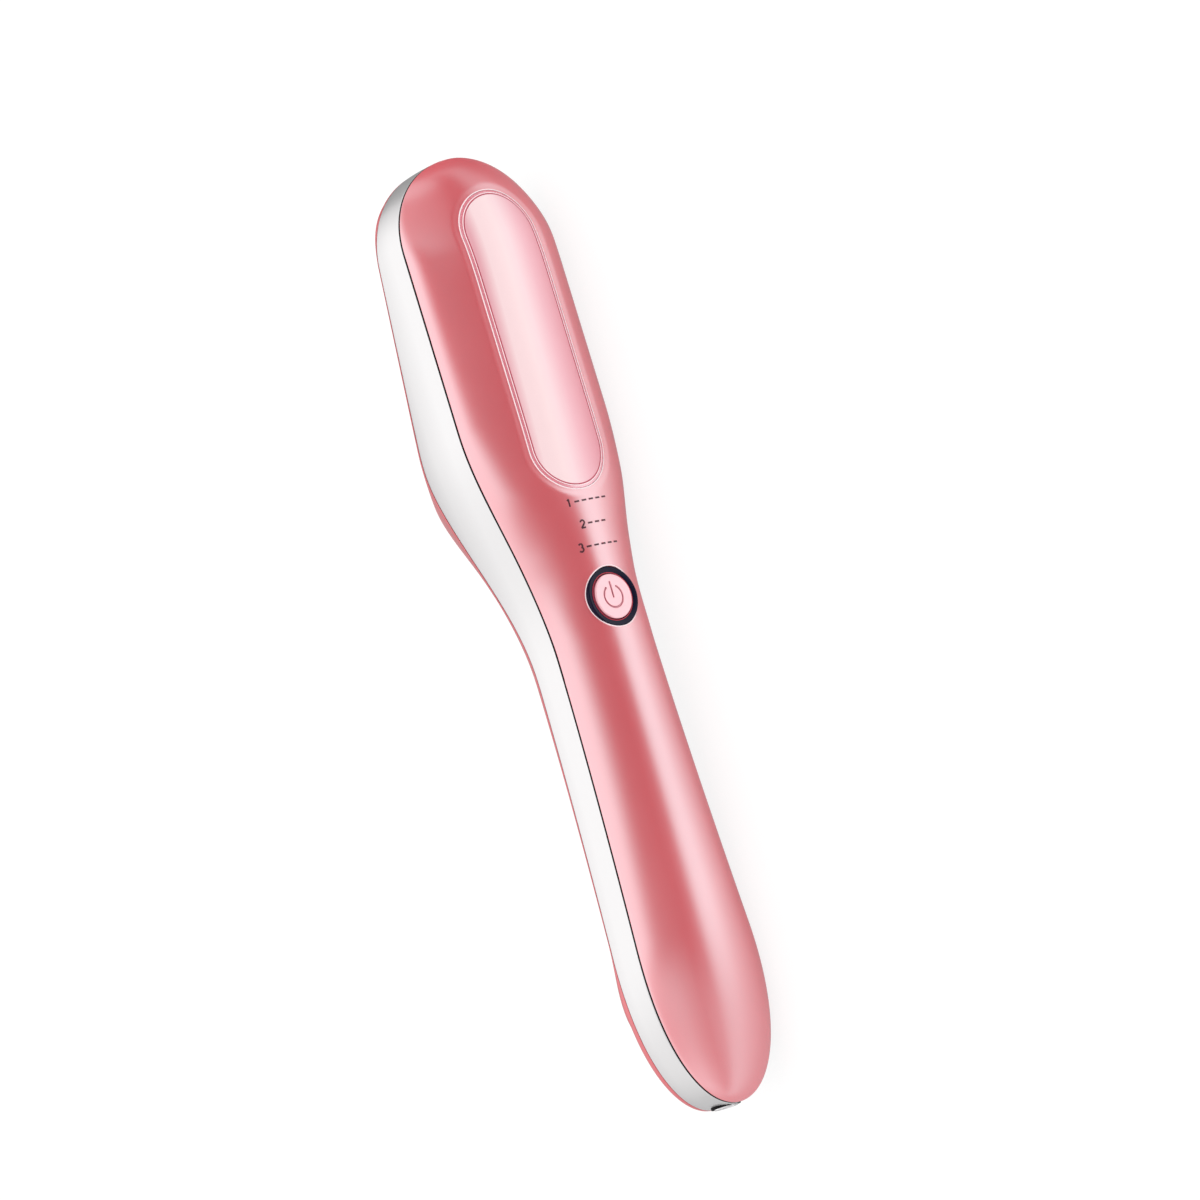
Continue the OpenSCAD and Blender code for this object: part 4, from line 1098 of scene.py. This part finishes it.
# Painted shade: a black ring round the eyelet for the dark recess it sits in, and a black liner for the shade in its
# bore and the dark socket behind it.
tip_ring("eyelet_washer", EYELET_R - 0.05, 2.95, EYELET_IN, -0.02, 0.1, black_gasket_and_shade, slot="port_eyelet")
tip_ring("eyelet_liner", 1.7, EYELET_HOLE + 0.02, EYELET_IN + 0.02, -0.05, 0.03, black_gasket_and_shade, slot="port_eyelet")

# %% [markdown]
# ## Finishes of the inner parts
# The inner parts keep the construction model's shapes and only take a finish: green boards, black chips, an
# amber ribbon, a blue cell, red leads, nickel and copper. A table holds what differs.

# %% Inner finishes


def inner_finish(name, colour, roughness, metallic=0.0):
    """A plain moulded or metal finish with a slight drift of tint and roughness and a grain."""
    darker = tuple(0.85 * channel for channel in colour)
    return new_finish(name, (darker, colour, 400), (roughness, roughness + 0.12, 1200), (6000, 0.006, 0.3),
                      Metallic=metallic)


inner_finishes = {
    "light_guide": ("milky_guide", (0.85, 0.83, 0.82), 0.3),
    "window_lights": ("warm_lights", (0.9, 0.78, 0.4), 0.3),
    "light_board": ("green_board", (0.02, 0.16, 0.07), 0.4),
    "switch_body": ("switch_steel", (0.6, 0.6, 0.6), 0.35, 1.0),
    "switch_plunger": ("plunger_black", (0.03, 0.03, 0.035), 0.45),
    "main_board": ("main_green", (0.02, 0.16, 0.07), 0.4),
    "board_components": ("component_black", (0.03, 0.03, 0.03), 0.4),
    "light_ribbon": ("ribbon_amber", (0.65, 0.33, 0.06), 0.35),
    "inner_frame": ("frame_grey", (0.35, 0.35, 0.36), 0.5),
    "electrode_strip": ("electrode_copper", (0.75, 0.38, 0.25), 0.3, 1.0),
    "emitter_holder": ("holder_ivory", (0.75, 0.72, 0.66), 0.5),
    "high_voltage_module": ("potting_black", (0.02, 0.02, 0.022), 0.35),
    "high_voltage_lead": ("lead_red", (0.55, 0.03, 0.03), 0.45),
    "battery_cell": ("cell_sleeve", (0.06, 0.2, 0.45), 0.35),
    "battery_tray": ("tray_grey", (0.3, 0.3, 0.31), 0.5),
    "battery_contacts": ("contact_nickel", (0.7, 0.68, 0.62), 0.3, 1.0),
    "battery_leads": ("lead_black", (0.03, 0.03, 0.03), 0.5),
    "charge_leads": ("lead_rose", (0.45, 0.05, 0.05), 0.5),
    "charge_board": ("charge_green", (0.02, 0.16, 0.07), 0.4),
    "charge_socket": ("socket_black", (0.015, 0.015, 0.016), 0.4),
    "socket_pin": ("pin_steel", (0.65, 0.64, 0.62), 0.25, 1.0),
    "case_screws": ("screw_steel", (0.5, 0.5, 0.51), 0.35, 1.0),
}
for node_name, look in inner_finishes.items():
    material = inner_finish(*look)
    part = bpy.data.objects[node_name]
    part.data.materials.clear()
    part.data.materials.append(material)
print("inner parts dressed:", len(inner_finishes))

# %% [markdown]
# ## Floor
# A pale floor without an end. To the camera it looks white and keeps the wand's soft shadow, because only part
# of its white is its own glow. To a mirror ray it is dim but for a bright strip close to the wand, which the
# pearl shows as the pale streak along its crown.

# %% The floor
REACH = 60.0
STRIP_FAR, STRIP_NEAR = -0.08, 0.0
STRIP_STOPS = [(0.24, 0.02), (0.46, 0.95), (0.64, 0.95), (0.84, 0.22)]
FLOOR_TONE, SEEN_GLOW, SEEN_DROP, MIRROR_DROP = 0.9, 0.83, 0.7, 0.87

floor_mesh = bpy.data.meshes.new("floor")
floor_mesh.from_pydata([(-REACH, -REACH, 0), (REACH, -REACH, 0), (REACH, REACH, 0), (-REACH, REACH, 0)], [],
                       [(0, 1, 2, 3)])
floor = placed("floor", floor_mesh)

floor_finish = new_finish("floor_white", Roughness=0.9, Specular_IOR_Level=0.0)
floor_mesh.materials.append(floor_finish)
ray = add_node(floor_finish, "ShaderNodeLightPath")
seen, in_mirror = ray.outputs["Is Camera Ray"], ray.outputs["Is Glossy Ray"]
floor_x, floor_y = coordinate(floor_finish, "X"), coordinate(floor_finish, "Y")
strip = tint_stops(floor_finish, mapped(floor_finish, floor_y, STRIP_FAR, STRIP_NEAR, kind="LINEAR"),
                   [(position, (level, level, level)) for position, level in STRIP_STOPS])
tail_gain = mapped(floor_finish, floor_x, -0.09, -0.05, 0.6, 1.9)
head_fade = mapped(floor_finish, floor_x, 0.08, 0.115, 1, 0.3)
tail_glow = mapped(floor_finish, floor_x, -0.09, -0.055, 0.45, 0)
strip = arithmetic(floor_finish, "ADD", times(floor_finish, strip, tail_gain, head_fade), tail_glow)

# %% The floor's two faces
glow = add_node(floor_finish, "ShaderNodeEmission", Color=(1, 1, 1, 1))
both = add_node(floor_finish, "ShaderNodeAddShader")


def by_ray(seen_level, mirror_level):
    """A level for camera rays plus a level for mirror rays, and nothing for the others."""
    return arithmetic(floor_finish, "ADD", times(floor_finish, mirror_level, in_mirror),
                      times(floor_finish, seen, seen_level))


tone = arithmetic(floor_finish, "SUBTRACT", FLOOR_TONE, by_ray(SEEN_DROP, MIRROR_DROP))
link(floor_finish, tone, shader_of(floor_finish).inputs["Base Color"])
link(floor_finish, by_ray(SEEN_GLOW, strip), glow.inputs["Strength"])
link(floor_finish, shader_of(floor_finish).outputs[0], both.inputs[0])
link(floor_finish, glow.outputs[0], both.inputs[1])
link(floor_finish, both.outputs[0], floor_finish.node_tree.nodes["Material Output"].inputs["Surface"])
print("nodes in the floor's finish:", len(floor_finish.node_tree.nodes))

# %% [markdown]
# ## Camera
# The photograph sees the button side turned towards its left flank, a little from the tail, with a long lens
# and a rolled frame. Three angles say it, laid down like the wand, so no tracking constraint is needed.

# %% The camera
VIEW_TURN, VIEW_DIP, ROLL = radians(40.5), radians(6.5), radians(17)
FRAME_WIDE, LENS_AWAY, SENSOR = 229.6, 2000.0, 36.0
SHIFT_RIGHT, SHIFT_UP = 2.698, 4.707
to_camera = np.array([-sin(VIEW_TURN) * cos(VIEW_DIP), -sin(VIEW_DIP),
                      cos(VIEW_TURN) * cos(VIEW_DIP)])
plain_right = np.array([cos(VIEW_TURN), 0, sin(VIEW_TURN)])
plain_up = np.cross(to_camera, plain_right)
picture_right = cos(ROLL) * plain_right - sin(ROLL) * plain_up
picture_up = sin(ROLL) * plain_right + cos(ROLL) * plain_up
picture_middle = np.array([0, LENGTH / 2, 0]) + SHIFT_RIGHT * plain_right + SHIFT_UP * plain_up

camera_data = bpy.data.cameras.new("camera")
camera_data.sensor_width = SENSOR
camera_data.lens = SENSOR * LENS_AWAY / FRAME_WIDE
camera_data.clip_end = 20
camera = placed("camera", camera_data)
camera_axes = [turn(picture_right), turn(picture_up), turn(to_camera)]
camera_matrix = Matrix(np.stack(camera_axes, axis=1).tolist()).to_4x4()
camera_matrix.translation = Vector(lay(picture_middle + to_camera * LENS_AWAY))
camera.matrix_world = camera_matrix
bpy.context.scene.camera = camera
print("the lens is", round(camera_data.lens, 1), "mm")

# %% [markdown]
# ## Light
# A glossy product is lit by what it mirrors. The sky is one soft light, brighter overhead and a little darker
# past head and tail, which gives the band its slow change. Area lamps would show as hard patches in the
# pearl. To the camera the sky is plain white.

# %% The sky
world = bpy.data.worlds.new("studio")
bpy.context.scene.world = world
world.use_nodes = True
sky = world.node_tree.nodes["Background"]
sky.inputs["Color"].default_value = (1, 0.99, 0.985, 1)
sky_ray = add_node(world, "ShaderNodeLightPath")
glow_height = mapped(world, coordinate(world, "Z", "Generated"), 0.05, 0.6, 0.98, 1.5)
head_side = mapped(world, coordinate(world, "X", "Generated"), 0.45, 0.75, 1, 0.78)
tail_side = mapped(world, coordinate(world, "X", "Generated"), -0.3, 0.05, 0.76, 1)
mirror_gain = arithmetic(world, "ADD", 1, times(world, sky_ray.outputs["Is Glossy Ray"], 0.08))
strength = times(world, head_side, tail_side, glow_height, mirror_gain)
white_to_camera = times(world, sky_ray.outputs["Is Camera Ray"], 1.05)
link(world, arithmetic(world, "MAXIMUM", strength, white_to_camera), sky.inputs["Strength"])
print("nodes in the sky:", len(world.node_tree.nodes))

# %% [markdown]
# ## The dark gauze
# The deep rose zone along the cover mirrors something dark beside the camera, like a studio's black flag. Here
# it is a gauze bent to a quarter cylinder, which only mirror rays meet. Its darkness is an attribute of its
# points, so its upper edge can rise, fall and blur along the wand.

# %% The dark gauze
GAUZE_R, GAUZE_DARK = 0.2, 0.97
GAUZE_X, GAUZE_TURN = (-0.4, 0.5, 181), (0, 125, 101)
TOP_AT, TOP = [-0.07, -0.05, -0.032, 0, 0.035, 0.073, 0.2], [125, 80, 60, 46, 64, 88, 92]
BLUR_AT, BLUR = [-0.032, 0, 0.035, 0.073], [24, 28, 22, 18]
place_x, place_m = np.meshgrid(np.linspace(*GAUZE_X), np.linspace(*GAUZE_TURN))
top, blur = np.interp(place_x, TOP_AT, TOP), np.interp(place_x, BLUR_AT, BLUR)
gauze_depth = GAUZE_DARK * (0.48 + 0.52 * ramp((place_x + 0.08) / 0.035)) * (0.4 + 0.6 * ramp((place_x + 0.3) / 0.18))
gauze_depth = gauze_depth * (1 - 0.3 * ramp((place_x - 0.1) / 0.07))
gauze_share = gauze_depth * ramp((top + blur - place_m) / (2 * blur))
turned_m = np.radians(place_m)
gauze_points = as_points(place_x, -GAUZE_R * np.cos(turned_m), GAUZE_R * np.sin(turned_m))

gauze_mesh = bpy.data.meshes.new("gauze")
gauze_mesh.from_pydata(gauze_points.reshape(-1, 3), [], grid_quads(*place_x.shape).tolist())
shade = gauze_mesh.attributes.new("veil_share", "FLOAT", "POINT")
shade.data.foreach_set("value", gauze_share.ravel().astype(np.float32))
gauze = placed("gauze", gauze_mesh)
gauze.visible_camera = gauze.visible_diffuse = gauze.visible_shadow = False

gauze_finish = bpy.data.materials.new("gauze_dark")
gauze_finish.use_nodes = True
gauze_finish.node_tree.nodes.remove(shader_of(gauze_finish))
thickness = add_node(gauze_finish, "ShaderNodeAttribute", attribute_name="veil_share")
clear = add_node(gauze_finish, "ShaderNodeBsdfTransparent")
dark = add_node(gauze_finish, "ShaderNodeEmission", Color=(0, 0, 0, 1), Strength=0.0)
veil = add_node(gauze_finish, "ShaderNodeMixShader")
for source, target in zip((thickness.outputs["Fac"], clear.outputs[0], dark.outputs[0]), veil.inputs):
    link(gauze_finish, source, target)
link(gauze_finish, veil.outputs[0], gauze_finish.node_tree.nodes["Material Output"].inputs["Surface"])
gauze_mesh.materials.append(gauze_finish)
print("points on the gauze:", len(gauze_mesh.vertices))

# %% [markdown]
# ## The view
# With the Standard view transform a colour renders about as it is written.

bpy.context.scene.view_settings.view_transform = "Standard"
